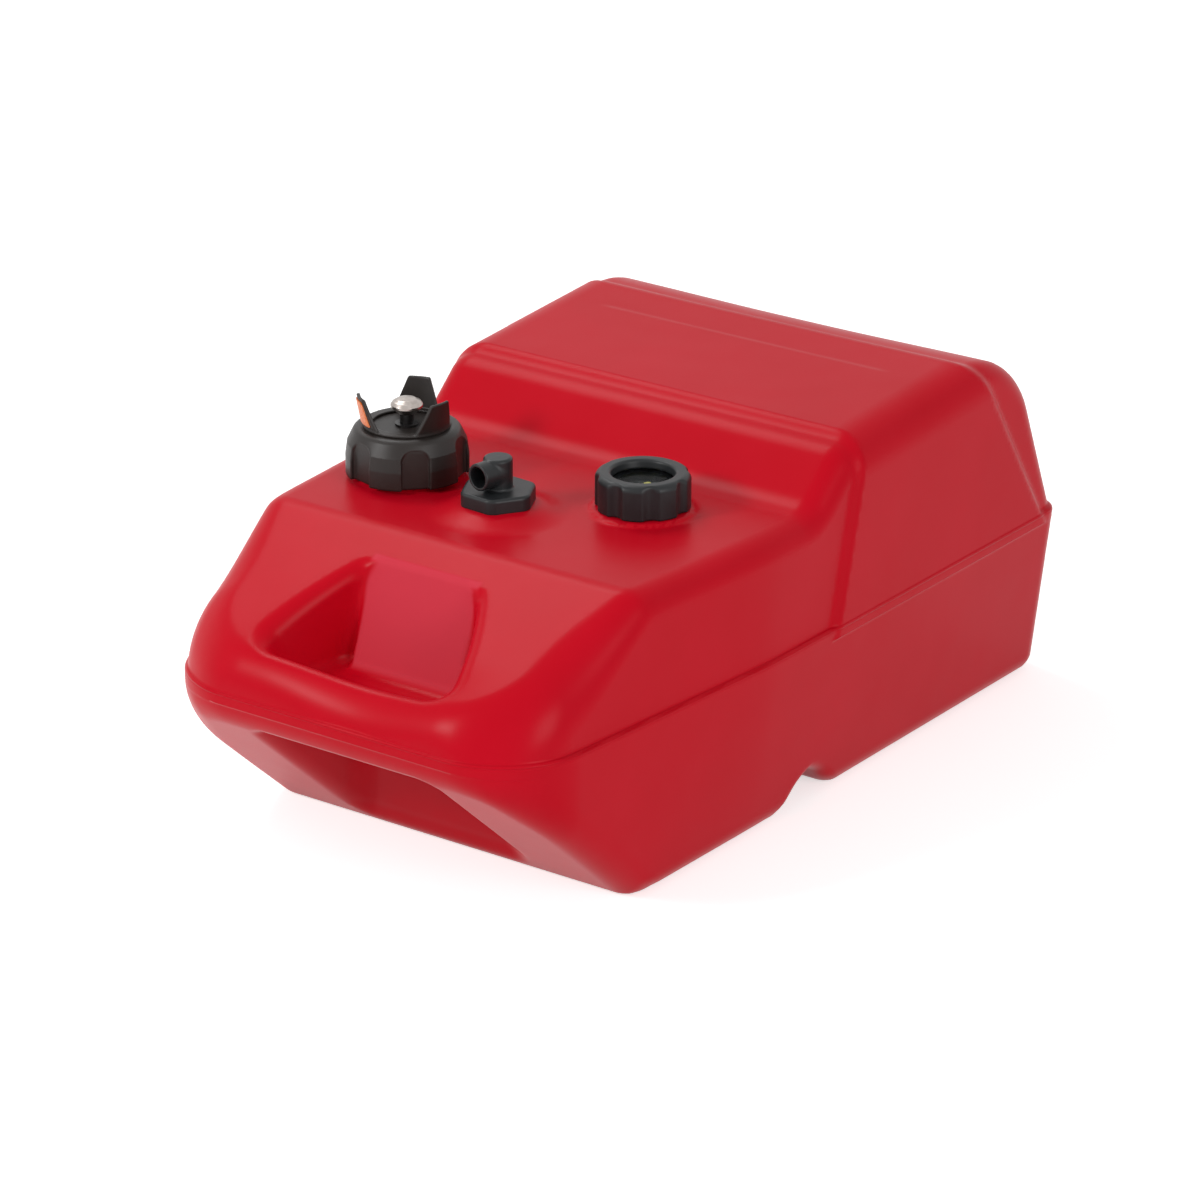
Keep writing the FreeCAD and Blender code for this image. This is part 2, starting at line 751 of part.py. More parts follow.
def pickup_body():
    x, y = pickup_x, pickup_y
    corners = [(x + pickup_foot_radius * math.cos(math.radians(pickup_turn + 60 * i)),
                y + pickup_foot_radius * math.sin(math.radians(pickup_turn + 60 * i))) for i in range(6)]
    foot = prism(rounded(corners, [pickup_corner_radius] * 6, on_plan(pickup_low)),
                 Vector(0, 0, pickup_foot_height))
    rim = touching(foot, lambda e: e.BoundBox.ZMin > post_low - 0.01)
    foot = foot.makeFillet(pickup_foot_edge, rim)
    post = cylinder(pickup_post_radius, post_low - 1.0, post_high, x, y)
    post = post.makeFillet(pickup_post_edge, touching(post, lambda e: e.BoundBox.ZMin > post_high - 0.01))
    port = Part.makeCylinder(port_radius, port_reach, Vector(x, y, port_z), Vector(0, -1, 0))
    port = port.makeFillet(1.0, touching(port, lambda e: e.BoundBox.YMax < y - port_reach + 0.01))
    body = foot.fuse(post).fuse(port)
    body = body.fuse(cylinder(pickup_bore - fit, shank_low, pickup_low + 0.5, x, y))
    mouth = Vector(x, y - port_reach, port_z)
    body = body.cut(Part.makeCylinder(port_bore, port_depth, mouth, Vector(0, 1, 0)))
    body = body.cut(Part.makeCylinder(pickup_passage, port_reach, mouth, Vector(0, 1, 0)))
    body = body.cut(cylinder(pickup_passage, shank_low - 1.0, port_z, x, y))
    body = body.cut(cylinder(ball_chamber, chamber_low, chamber_high, x, y))
    body = body.cut(cylinder(dip_tube_radius + fit / 2, shank_low - 1.0, tube_socket, x, y))
    body = body.cut(ring(pickup_bore + 4.0, pickup_bore - fit, pickup_low - 1.0,
                         pickup_low + seal_section - 0.25, x, y))
    return turned_about(body, -port_heading, x, y)


def pickup_seal():
    return ring(pickup_bore + 3.8, pickup_bore + 0.2, pickup_seat, pickup_seat + seal_section - fit,
                pickup_x, pickup_y)


def dip_tube():
    return ring(dip_tube_radius, dip_tube_bore, dip_tube_foot, tube_socket - fit, pickup_x, pickup_y)


def strainer():
    x, y = pickup_x, pickup_y
    high = strainer_foot + strainer_length
    body = ring(strainer_radius, strainer_radius - strainer_wall, strainer_foot, high, x, y)
    body = body.fuse(cylinder(strainer_radius - strainer_wall / 2, strainer_foot, strainer_foot + 2.0, x, y))
    body = body.fuse(ring(strainer_radius - strainer_wall / 2, dip_tube_radius + fit / 2, high - 2.5, high,
                          x, y))
    slot = Part.makeBox(20.0, strainer_slot_width, strainer_length - 2 * strainer_slot_margin,
                       Vector(x, y - strainer_slot_width / 2, strainer_foot + strainer_slot_margin - 1.0))
    for i in range(strainer_slots):
        body = body.cut(turned_about(slot, 360.0 / strainer_slots * i, x, y))
    return body


def check_ball():
    return Part.makeSphere(ball_radius, Vector(pickup_x, pickup_y, chamber_low + ball_seat_rise))


def check_spring():
    return coil(ball_chamber - 1.2, ball_spring_wire / 2, chamber_low + ball_spring_foot,
                chamber_high - fit / 2, ball_spring_turns, pickup_x, pickup_y)


flange_low = gauge_seat + gauge_gasket_thickness + fit
flange_high = flange_low + flange_thickness
cup_low = flange_low - cup_depth
cup_outer = gauge_bore - 0.4
dial_low = flange_high - dial_drop - dial_thickness
lens_low = flange_high + fit / 2
lens_high = lens_low + lens_thickness


def gauge_gasket():
    return ring(gauge_neck_radius, gauge_bore + 0.2, gauge_seat + fit / 2, flange_low - fit / 2,
                gauge_x, gauge_y)


def gauge_housing():
    x, y = gauge_x, gauge_y
    body = cylinder(gauge_neck_radius, flange_low, flange_high, x, y)
    body = body.fuse(cylinder(cup_outer, cup_low, flange_low, x, y))
    body = body.cut(cylinder(cup_outer - cup_wall, cup_low + cup_floor, flange_high + 1, x, y))
    body = body.fuse(ring(cup_outer - cup_wall + 0.5, dial_radius - 2.0, dial_low - 2.0, dial_low - fit / 2,
                          x, y))
    for side in (-1, 1):
        inner = side * leg_inner
        start = x + min(inner, inner + side * leg_thickness)
        leg = Part.makeBox(leg_thickness, leg_width, cup_low + 1.0 - (pivot_height - leg_width / 2),
                           Vector(start, y - leg_width / 2, pivot_height - leg_width / 2))
        body = body.fuse(leg)
    bridge_low = pivot_height + cone_distance + bridge_rise
    bridge = Part.makeBox(2 * leg_inner + 2.0, bridge_width, bridge_thickness,
                         Vector(x - leg_inner - 1.0, y - bridge_width / 2, bridge_low))
    body = body.fuse(bridge)
    body = body.cut(cylinder(shaft_radius + running_fit, bridge_low - 1.0, cup_low + cup_floor + 1.0, x, y))
    pin = Part.makeCylinder(pivot_pin_radius + fit / 2, 60.0, Vector(x - 30.0, y, pivot_height),
                            Vector(1, 0, 0))
    return body.cut(pin)


def gauge_dial():
    return ring(dial_radius, shaft_radius + 0.3, dial_low, dial_low + dial_thickness, gauge_x, gauge_y)


def gauge_lens():
    return cylinder(lens_radius, lens_low, lens_high, gauge_x, gauge_y)


def gauge_nut():
    x, y = gauge_x, gauge_y
    foot = deck_height + gauge_collar_height + 0.3
    thread = gauge_neck_radius + 0.4
    pocket = lens_radius + 0.3
    top = lens_high + fit + nut_lip
    body = lathe([(thread, foot), (nut_radius - 1.0, foot), (nut_radius, foot + 1.0), (nut_radius, top - 6.0),
                  (nut_radius - 1.4, top - 2.6), (nut_radius - 4.0, top - 0.5), (nut_radius - 6.5, top),
                  (nut_opening + nut_flare + 1.2, top), (nut_opening + nut_flare, top - 0.6),
                  (nut_opening, lens_high + fit + 0.8), (nut_opening, lens_high + fit),
                  (pocket, lens_high + fit), (pocket, flange_high + 0.3), (thread, flange_high + 0.3)], x, y)
    cutter = cylinder(nut_scallop, foot - 5.0, top + 5.0, x + nut_radius + nut_scallop - nut_scallop_depth, y)
    for i in range(nut_lobes):
        body = body.cut(turned_about(cutter, 360.0 / nut_lobes * i, x, y))
    return body


pointer_low = dial_low + dial_thickness + 0.8


def gauge_pointer():
    half = pointer_width / 2
    waist, barb = pointer_length * 0.55, pointer_length - 3.0
    outline = [(-pointer_tail, -half * 0.8), (waist, -half * 0.55), (barb, -half * 1.3),
               (pointer_length, 0.0),
               (barb, half * 1.3), (waist, half * 0.55), (-pointer_tail, half * 0.8)]
    blade = prism(rounded(outline, [1.0, 0, 0.8, 1.0, 0.8, 0, 1.0], on_plan(pointer_low)),
                  Vector(0, 0, pointer_thickness))
    hub = cylinder(3.4, pointer_low, pointer_low + 2.2, 0, 0)
    body = blade.fuse(hub)
    body = body.cut(cylinder(shaft_radius + fit / 4, pointer_low - 1.0, pointer_low + 1.6, 0, 0))
    body.rotate(Vector(0, 0, 0), Vector(0, 0, 1), pointer_heading)
    body.translate(Vector(gauge_x, gauge_y, 0))
    return body


pinion_angle = math.atan2(pinion_teeth, gear_teeth)


def bevel_gear(teeth, cone, phase):
    # Bevel wheel about +Z with its apex at the origin, teeth as tapered ridges on a cone.
    near, far = cone_distance - gear_face, cone_distance
    root = math.atan2(dedendum, cone_distance)

    def on_cone(distance, lift):
        return (distance * math.sin(cone) + lift * math.cos(cone) * distance / cone_distance,
                distance * math.cos(cone) - lift * math.sin(cone) * distance / cone_distance)

    r0, z0 = on_cone(near, -dedendum)
    r1, z1 = on_cone(far, -dedendum)
    wheel = lathe([(0, z0), (r0, z0), (r1, z1), (0, z1)], 0, 0)
    pitch = 2.0 * math.pi / teeth
    for i in range(teeth):
        middle = phase + i * pitch
        sections = []
        for distance in (near, far):
            corners = []
            for lift, share in ((-dedendum * 1.3, 0.25), (addendum, 0.13)):
                radius, height = on_cone(distance, lift)
                corners.append((radius, height, share * pitch))
            (ra, za, ta), (rb, zb, tb) = corners
            ring_points = [(ra, za, middle - ta), (rb, zb, middle - tb),
                           (rb, zb, middle + tb), (ra, za, middle + ta)]
            points = [Vector(r * math.cos(t), r * math.sin(t), z) for r, z, t in ring_points]
            sections.append(Part.makePolygon(points + points[:1]))
        wheel = wheel.fuse(Part.makeLoft(sections, True, True))
    return wheel


def gauge_pinion():
    wheel = bevel_gear(pinion_teeth, pinion_angle, 0.0)
    low = wheel.BoundBox.ZMin
    wheel = wheel.cut(cylinder(shaft_radius + fit / 4, low - 1.0, 60.0, 0, 0))
    wheel.translate(Vector(gauge_x, gauge_y, pivot_height))
    return wheel


def gauge_shaft():
    low = pivot_height + cone_distance * math.cos(pinion_angle) - gear_face
    return cylinder(shaft_radius, low, pointer_low + 1.5, gauge_x, gauge_y)


def float_gear():
    wheel = bevel_gear(gear_teeth, math.pi / 2 - pinion_angle, math.pi / gear_teeth)
    hub_back = wheel.BoundBox.ZMax
    wheel = wheel.fuse(cylinder(hub_radius, -9.0, hub_back + 1.2, 0, 0))
    wheel = wheel.cut(cylinder(pivot_pin_radius + running_fit, -20.0, 40.0, 0, 0))
    wheel.rotate(Vector(0, 0, 0), Vector(0, 1, 0), 90)
    socket = Part.makeCylinder(arm_radius + fit / 4, 10.0, Vector(arm_offset, hub_radius - 2.0, 0),
                               Vector(0, 1, 0))
    socket.rotate(Vector(0, 0, 0), Vector(1, 0, 0), arm_rest)
    wheel = wheel.cut(socket)
    wheel.translate(Vector(gauge_x, gauge_y, pivot_height))
    return wheel


def pivot_pin():
    reach = leg_inner + leg_thickness
    return Part.makeCylinder(pivot_pin_radius, 2 * reach, Vector(gauge_x - reach, gauge_y, pivot_height),
                             Vector(1, 0, 0))


def placed_on_arm(shape):
    shape.rotate(Vector(0, 0, 0), Vector(1, 0, 0), arm_rest)
    shape.translate(Vector(gauge_x, gauge_y, pivot_height))
    return shape


def float_arm():
    # Bent wire: straight from the hub, then across to carry the float.
    start = hub_radius - 1.8
    bend = arm_bend
    short = 1 - math.sqrt(0.5)
    end_x = float_length / 2 - 3.0
    path = Part.Wire([
        Part.LineSegment(Vector(arm_offset, start, 0), Vector(arm_offset, arm_length - bend, 0)).toShape(),
        Part.Arc(Vector(arm_offset, arm_length - bend, 0),
                 Vector(arm_offset + bend * short, arm_length - bend * short, 0),
                 Vector(arm_offset + bend, arm_length, 0)).toShape(),
        Part.LineSegment(Vector(arm_offset + bend, arm_length, 0), Vector(end_x, arm_length, 0)).toShape()])
    section = Part.Wire([Part.Circle(Vector(arm_offset, start, 0), Vector(0, 1, 0), arm_radius).toShape()])
    return placed_on_arm(Part.Solid(path.makePipeShell([section], True, False)))


def tank_float():
    start = arm_offset + 9.5
    body = Part.makeCylinder(float_radius, float_length, Vector(start, arm_length, 0), Vector(1, 0, 0))
    body = body.makeFillet(float_edge, body.Edges)
    bore = Part.makeCylinder(arm_radius + fit / 4, float_length / 2 - 3.0 - start + 0.2 + 1.0,
                             Vector(start - 1.0, arm_length, 0), Vector(1, 0, 0))
    return placed_on_arm(body.cut(bore))


pieces = {
    "tank_shell": tank_shell,
    "cap_gasket": cap_gasket,
    "cap_closure": cap_closure,
    "cap_shell": cap_shell,
    "cap_vane_guard": vane_guard,
    "cap_vane_insert": vane_insert,
    "vent_bush": vent_bush,
    "vent_stem": vent_stem,
    "vent_button": vent_button,
    "vent_spring": vent_spring,
    "vent_valve_disc": vent_valve,
    "vent_retaining_clip": vent_clip,
    "pickup_body": pickup_body,
    "pickup_seal": pickup_seal,
    "pickup_dip_tube": dip_tube,
    "pickup_strainer": strainer,
    "pickup_check_ball": check_ball,
    "pickup_check_spring": check_spring,
    "gauge_gasket": gauge_gasket,
    "gauge_housing": gauge_housing,
    "gauge_dial": gauge_dial,
    "gauge_lens": gauge_lens,
    "gauge_ring_nut": gauge_nut,
    "gauge_pointer": gauge_pointer,
    "gauge_shaft": gauge_shaft,
    "gauge_pinion": gauge_pinion,
    "float_gear": float_gear,
    "float_pivot_pin": pivot_pin,
    "float_arm": float_arm,
    "float": tank_float,
}

for name, build in pieces.items():
    build().exportStep("parts/" + name + ".step")
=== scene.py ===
import math

import bpy
import numpy as np
from mathutils import Matrix, Vector


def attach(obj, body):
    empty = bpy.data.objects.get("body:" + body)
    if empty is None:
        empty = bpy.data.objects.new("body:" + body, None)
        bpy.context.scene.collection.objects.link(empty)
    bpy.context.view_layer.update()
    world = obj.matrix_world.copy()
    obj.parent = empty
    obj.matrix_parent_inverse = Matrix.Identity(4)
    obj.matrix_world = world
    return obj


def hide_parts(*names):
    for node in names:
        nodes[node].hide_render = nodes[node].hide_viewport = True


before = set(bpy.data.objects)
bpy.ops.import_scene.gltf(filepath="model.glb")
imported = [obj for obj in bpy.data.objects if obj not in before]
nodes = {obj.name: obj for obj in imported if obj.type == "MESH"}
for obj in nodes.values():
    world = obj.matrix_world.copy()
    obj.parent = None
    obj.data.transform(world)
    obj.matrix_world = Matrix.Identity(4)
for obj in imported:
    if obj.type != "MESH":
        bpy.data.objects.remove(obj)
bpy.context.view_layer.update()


# Camera: a long lens in front of the tank and to its right, held without roll. It stands high enough
# to look down on the deck and the fittings.
camera_azimuth = math.radians(35.969)
camera_rise = math.radians(22.128)
camera_distance, camera_aside, camera_above = 3.3374, -0.008051, 0.098087
sensor_width, focal_pixels, picture_pixels = 36.0, 5224.52, 1200.0
camera_back = Vector((math.sin(camera_azimuth) * math.cos(camera_rise),
                      -math.cos(camera_azimuth) * math.cos(camera_rise), math.sin(camera_rise)))
camera_right = Vector((math.cos(camera_azimuth), math.sin(camera_azimuth), 0.0))
camera_up = camera_back.cross(camera_right)
camera = bpy.data.objects.new("camera", bpy.data.cameras.new("camera"))
bpy.context.scene.collection.objects.link(camera)
camera.data.lens = sensor_width * focal_pixels / picture_pixels
camera.data.clip_start, camera.data.clip_end = 0.1, 60.0
camera_place = camera_distance * camera_back + camera_aside * camera_right + camera_above * camera_up
camera_turn = Matrix((camera_right, camera_up, camera_back)).transposed().to_4x4()
camera.matrix_world = Matrix.Translation(camera_place) @ camera_turn
bpy.context.scene.camera = camera


# Tank shell: one hollow blow moulding of red high-density polyethylene. A drafted tub below the seam,
# a sloped front with the carrying handle, a flat deck for the fittings and a tall rear block with a
# raised band. It is shaped as distances to its walls, in millimetres, joined with rounded edges.
deck, seam = 198.0, 119.0
half_length, seam_half_width, base_half_width = 285.0, 158.5, 144.0
filler, pickup, gauge = (-91.6, -90.8), (-8.2, -107.9), (61.3, -53.5)
slopes_ahead, bottom_fall, handle_climb = 168.0, 0.889, 0.479
riser_climb, crown_climb, crown_from = 0.892, 0.0616, 47.7
pocket_floor, pocket_back, pocket_front = 121.5, 203.0, 254.0
tongue_half_width, tongue_front, tongue_lean, tongue_radius = 42.0, 214.0, 0.36, 3.5


def edge(a, b, radius, cosine=0.0):
    # Where two walls meet on an outer edge, rounded to a radius. The cosine is of the angle between the
    # ways the two walls face, 0 for walls square to each other.
    u, v = a + radius, b + radius
    arc = np.sqrt(np.maximum(u * u + v * v - 2 * u * v * cosine, 0) / (1 - cosine * cosine)) - radius
    return np.where((u > v * cosine) & (v > u * cosine), arc, np.maximum(a, b))


def fillet(a, b, radius, cosine=0.0):
    # Where two walls meet in an inner corner, filled to a radius.
    return -edge(-a, -b, radius, cosine)


def fade(value, start, end):
    # Goes smoothly from 0 at the start to 1 at the end.
    share = np.clip((value - start) / (end - start), 0, 1)
    return share * share * (3 - 2 * share)


def leaning(distance, slope):
    # Distance square to a wall that leans by a slope, from the distance to it along one axis. The
    # slope's own length is taken to a thousandth.
    return distance / round(math.hypot(1.0, slope), 3)


def half_widths(y):
    # Half widths at the seam and at the base. Both narrow towards the front, the seam's more.
    narrows_from, softness, seam_taper, base_taper = -52.0, 14.0, 0.083, 0.012
    ahead = narrows_from - y
    narrowing = 0.5 * (ahead + np.sqrt(ahead * ahead + softness ** 2)) - softness / 4
    return seam_half_width - seam_taper * narrowing, base_half_width - base_taper * narrowing


def tub(x, y, z):
    # Below the seam. The sloped bottom meets the front at a blunt angle and the sides squarely.
    side_lean = 0.985
    seam_half, base_half = half_widths(y)
    side = (np.abs(x) - (base_half + (seam_half - base_half) * z / seam)) * side_lean
    front, rear = -half_length - y, y - half_length
    walls = edge(edge(side, front, radius=55.0), rear, radius=20.0)
    incline = leaning(-bottom_fall * (y + slopes_ahead) - z, bottom_fall)
    blunt = fade(front - side, start=-25.0, end=25.0)
    walls = edge(walls, incline, radius=19.0 + 14.0 * blunt, cosine=0.664 * blunt)
    flat_share = fade(incline - side, start=-12.0, end=12.0)
    walls = edge(walls, -z, radius=13.0, cosine=0.747 * flat_share)
    return edge(walls, z - seam, radius=2.0)


def front_top(x, y, z):
    # Handle bar with a dip for the hand, the slope behind it, the deck and the riser to the rear block.
    # The shoulders of the bar are rounder than the rest of the rim.
    bar_dip, dip_x, dip_spread = 9.0, 14.0, 52.0
    riser_from, riser_top, top_inset, top_front, top_rear = 2.0, 231.2, 4.0, 284.4, 140.0
    across = np.abs(x)
    dip = bar_dip * np.exp(-((x - dip_x) / dip_spread) ** 2) * (1 - fade(y, start=-279.0, end=-238.0))
    slope = leaning(z - deck - handle_climb * (y + slopes_ahead) + dip, handle_climb)
    top = edge(z - deck, slope, radius=25.0, cosine=0.902)
    riser = edge(leaning(z - deck - riser_climb * (y + riser_from), riser_climb),
                 z - riser_top - crown_climb * (y - crown_from), radius=20.0, cosine=0.70)
    top = fillet(top, riser, radius=30.0, cosine=0.746)
    walls = edge(across - (half_widths(y)[0] - top_inset), -top_front - y, radius=51.0)
    shoulder = fade(y, start=-150.0, end=-232.0) * fade(across, start=72.0, end=120.0)
    walls = edge(walls, top, radius=17.0 + 17.0 * shoulder)
    return edge(walls, y - top_rear, radius=1.0)


def rear_block(x, y, z):
    # Tall block with a leaning back, and apart from it the raised band that runs over the block.
    crown_height, crown_drop, crown_dish = 235.0, 4.0, 1.5
    back_lean, back_from, back_foot, block_half_width, block_front = 0.4086, 282.0, 120.0, 154.5, 90.0
    band_front, band_front_lean, band_rear, band_rear_lean = 18.5, 0.252, 257.0, 0.64
    across = np.abs(x)
    crown = z - crown_height - crown_climb * (y - crown_from)
    lowered = crown + crown_drop + crown_dish * fade(across, start=150.0, end=20.0)
    behind = leaning(y - back_from + back_lean * (z - back_foot), back_lean)
    back = edge(lowered, behind, radius=70.0, cosine=0.32)
    block = edge(edge(across - block_half_width, back, radius=15.0), block_front - y, radius=1.0)
    ledges = np.maximum(leaning(band_front + band_front_lean * (z - seam) - y, band_front_lean),
                        leaning(y - band_rear + band_rear_lean * (z - seam), band_rear_lean))
    return block, edge(edge(across - seam_half_width, crown, radius=26.0), ledges, radius=2.6)


def seat(body, x, y, z, centre, radius, height, rounding, blend, cone=0.0, square=1.0):
    # The tank with one round raised seat for a fitting, straight or coned, blended into the deck.
    # Square is the share that makes a coned wall's sideways distance the distance square to it.
    cone_from, root_depth = 201.0, 12.0
    reach = np.hypot(x - centre[0], y - centre[1])
    wall = np.maximum((reach - radius + cone * (z - cone_from)) * square, deck - root_depth - z)
    return fillet(body, edge(wall, z - deck - height, rounding), blend)


def handle_pocket(x, y, z):
    # Pocket behind the bar. It widens forwards and upwards, round a tongue that runs down its back.
    half_width, front_lean, back_lean, side_lean = 50.0, 0.48, 0.24, 0.95
    front_widening, back_narrowing, front_flare = 10.0, 0.06, 0.34
    across, rise = np.abs(x), z - pocket_floor
    forward = np.clip((-pocket_back - y) / (pocket_front - pocket_back), -0.6, 1.9)
    room_half = half_width - back_narrowing * rise + forward * (front_widening + front_flare * rise)
    room = edge((across - room_half) * side_lean,
                leaning(-pocket_front - front_lean * rise - y, front_lean), radius=16.0)
    room = edge(room, leaning(y + pocket_back - back_lean * rise, back_lean), radius=13.0)
    room = edge(room, -rise, radius=7.0)
    tongue = edge(across - tongue_half_width,
                  leaning(-tongue_front + tongue_lean * rise - y, tongue_lean), radius=tongue_radius)
    return edge(room, -tongue, radius=5.0)


def finger_recess(x, y, z):
    # Recess under the bar, cut out through the sloped bottom, where it flares.
    roof, floor_height, half_width, flare, side_lean = 116.5, 6.0, 52.0, 14.0, 0.95
    back, back_lean, front, front_lean = 212.0, 0.3366, 256.0, 0.82
    drop = roof - z
    widening = flare * fade(-bottom_fall * (y + slopes_ahead) - z, start=-34.0, end=6.0)
    room = edge((np.abs(x) - half_width - widening) * side_lean, -drop, radius=9.0)
    room = edge(room, leaning(y + back - back_lean * drop, back_lean), radius=12.0)
    room = edge(room, leaning(-front - front_lean * drop - y, front_lean), radius=8.0)
    return edge(room, floor_height - z, radius=12.0)


def strap_groove(y, z):
    # Groove across the bottom for a tie-down strap, wider at its mouth.
    middle, mouth_half_width, roof, side_lean = 8.0, 30.0, 24.0, 0.958
    wall = leaning(np.abs(y - middle) - mouth_half_width + side_lean * z, side_lean)
    return edge(wall, z - roof, radius=8.0)


def tank_walls(x, y, z):
    # The tub and the top are joined at the seam, the seats added, and then the three openings cut.
    overlap, rim, crisper = 6.0, 9.0, 6.5
    block, band = rear_block(x, y, z)
    upper = fillet(fillet(front_top(x, y, z), block, radius=1.0), band, radius=7.0)
    upper = np.maximum(upper, seam - overlap - z)
    body = fillet(tub(x, y, z), upper, radius=2.6)
    body = seat(body, x, y, z, pickup, radius=29.0, height=6.0, rounding=3.0, blend=9.0, cone=1.05,
                square=0.69)
    body = seat(body, x, y, z, gauge, radius=32.0, height=2.4, rounding=1.2, blend=3.0)
    body = seat(body, x, y, z, filler, radius=31.0, height=2.0, rounding=1.0, blend=4.0)
    rim = rim - crisper * (1 - fade(np.abs(x), start=36.0, end=46.0)) * fade(y, start=-240.0, end=-228.0)
    body = edge(body, -handle_pocket(x, y, z), radius=rim)
    body = edge(body, -finger_recess(x, y, z), radius=8.0)
    return edge(body, -strap_groove(y, z), radius=8.0)


def moulded(name, walls, low, high, step, fine=None):
    # Closed mesh on the surface where walls() is zero. Each cell of a grid that the surface crosses gets
    # one point, set where the planes through its crossings meet, so that edges stay crisp. The grid may
    # be finer between two heights: fine holds them and the finer step.
    axes = [np.arange(a, b + step, step) for a, b in zip(low, high)]
    if fine:
        fine_from, fine_to, fine_step = fine
        up = axes[2]
        fine_heights = np.arange(fine_from, fine_to, fine_step)
        axes[2] = np.concatenate([up[up < fine_from - step], fine_heights, up[up > fine_to]])
    counts = [len(a) for a in axes]
    values = walls(*np.meshgrid(*axes, indexing="ij"))
    cells = np.array(counts) - 1
    size = cells.prod()
    # Each cell's planes give a symmetric matrix, kept as its six different terms, and a right side.
    terms = ((0, 0), (0, 1), (0, 2), (1, 1), (1, 2), (2, 2))
    normal_sum, offset_sum = np.zeros((size, len(terms))), np.zeros((size, 3))
    point_sum, hits = np.zeros((size, 3)), np.zeros(size)
    quads = []

    def slant(p):
        # The way that the surface faces at each point, from a small step to either side.
        probe = step * 0.05
        columns = []
        for k in range(3):
            shift = np.zeros(3)
            shift[k] = probe
            columns.append(walls(*(p + shift).T) - walls(*(p - shift).T))
        n = np.stack(columns, 1)
        return n / np.maximum(np.linalg.norm(n, axis=1, keepdims=True), 1e-9)

    for axis in range(3):
        near = np.take(values, range(counts[axis] - 1), axis)
        far = np.take(values, range(1, counts[axis]), axis)
        index = np.argwhere((near < 0) != (far < 0))
        others = [k for k in range(3) if k != axis]
        index = index[np.all([(index[:, k] > 0) & (index[:, k] < cells[k]) for k in others], axis=0)]
        # The crossing on each grid line is closed in on from both ends.
        a, b = near[tuple(index.T)], far[tuple(index.T)]
        start = np.stack([axes[k][index[:, k]] for k in range(3)], 1)
        along = np.zeros_like(start)
        along[:, axis] = np.diff(axes[axis])[index[:, axis]]
        low_t, high_t = np.zeros(len(a)), np.ones(len(a))
        t = a / (a - b)
        for _ in range(3):
            middle = walls(*(start + t[:, None] * along).T)
            same = (middle < 0) == (a < 0)
            low_t, high_t = np.where(same, t, low_t), np.where(same, high_t, t)
            a, b = np.where(same, middle, a), np.where(same, b, middle)
            t = low_t + (high_t - low_t) * np.clip(a / (a - b + 1e-12), 0.05, 0.95)
        point = start + t[:, None] * along
        normal = slant(point)
        offset = np.sum(normal * point, 1)
        u, v = others
        corners = []
        for du, dv in ((-1, -1), (0, -1), (0, 0), (-1, 0)):
            cell = index.copy()
            cell[:, u] += du
            cell[:, v] += dv
            flat = np.ravel_multi_index(cell.T, cells)
            corners.append(flat)
            for slot, (i, j) in enumerate(terms):
                normal_sum[:, slot] += np.bincount(flat, normal[:, i] * normal[:, j], size)
            for k in range(3):
                offset_sum[:, k] += np.bincount(flat, normal[:, k] * offset, size)
                point_sum[:, k] += np.bincount(flat, point[:, k], size)
            hits += np.bincount(flat, minlength=size)
        rising = near[tuple(index.T)] < 0
        if axis == 1:
            rising = ~rising
        quad = np.stack(corners, 1)
        quads.append(np.where(rising[:, None], quad, quad[:, ::-1]))
    # A light pull to the middle of the crossings holds a point where its planes are nearly one plane.
    pull, most_move = 0.08, 0.7
    used = np.flatnonzero(hits)
    middle = point_sum[used] / hits[used, None]
    n = normal_sum[used]
    matrix = np.stack([n[:, [0, 1, 2]], n[:, [1, 3, 4]], n[:, [2, 4, 5]]], 1) + np.eye(3) * pull
    right = offset_sum[used] - np.einsum("nij,nj->ni", matrix - np.eye(3) * pull, middle)
    used_cells = np.unravel_index(used, cells)
    reach = most_move * np.stack([np.diff(axes[k])[i] for k, i in enumerate(used_cells)], 1)
    points = middle + np.clip(np.linalg.solve(matrix, right[..., None])[..., 0], -reach, reach)
    number = np.zeros(size, int)
    number[used] = np.arange(len(used))
    faces = number[np.concatenate(quads)]
    mesh = bpy.data.meshes.new(name)
    mesh.from_pydata((points * 0.001).tolist(), [], faces.tolist())
    mesh.validate()
    mesh.shade_smooth()
    mesh.normals_split_custom_set_from_vertices(slant(points).tolist())
    piece = bpy.data.objects.new(name, mesh)
    bpy.context.scene.collection.objects.link(piece)
    return piece


tank = moulded("tank_moulding", tank_walls, (-164, -291, -6), (164, 291, 250),
               step=3.1, fine=(109.0, 125.0, 1.1))
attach(tank, "tank")
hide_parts("tank_shell")


def colour(code):
    # sRGB hex to the linear values that a shader takes.
    parts = [int(code[i:i + 2], 16) / 255.0 for i in (1, 3, 5)]
    return tuple(c / 12.92 if c <= 0.04045 else ((c + 0.055) / 1.055) ** 2.4 for c in parts) + (1.0,)


def wire(tree, node, **inputs):
    # Sets or links a node's inputs by name. A name such as i6 is the input with that number.
    for key, value in inputs.items():
        numbered = key[0] == "i" and key[1:].isdigit()
        socket = node.inputs[int(key[1:])] if numbered else node.inputs[key.replace("_", " ")]
        if isinstance(value, bpy.types.NodeSocket):
            tree.links.new(value, socket)
        else:
            socket.default_value = value
    return node


def add(tree, kind, settings=None, **inputs):
    # Adds a node with its own settings and its inputs.
    node = tree.nodes.new(kind)
    for key, value in (settings or {}).items():
        setattr(node, key, value)
    return wire(tree, node, **inputs)


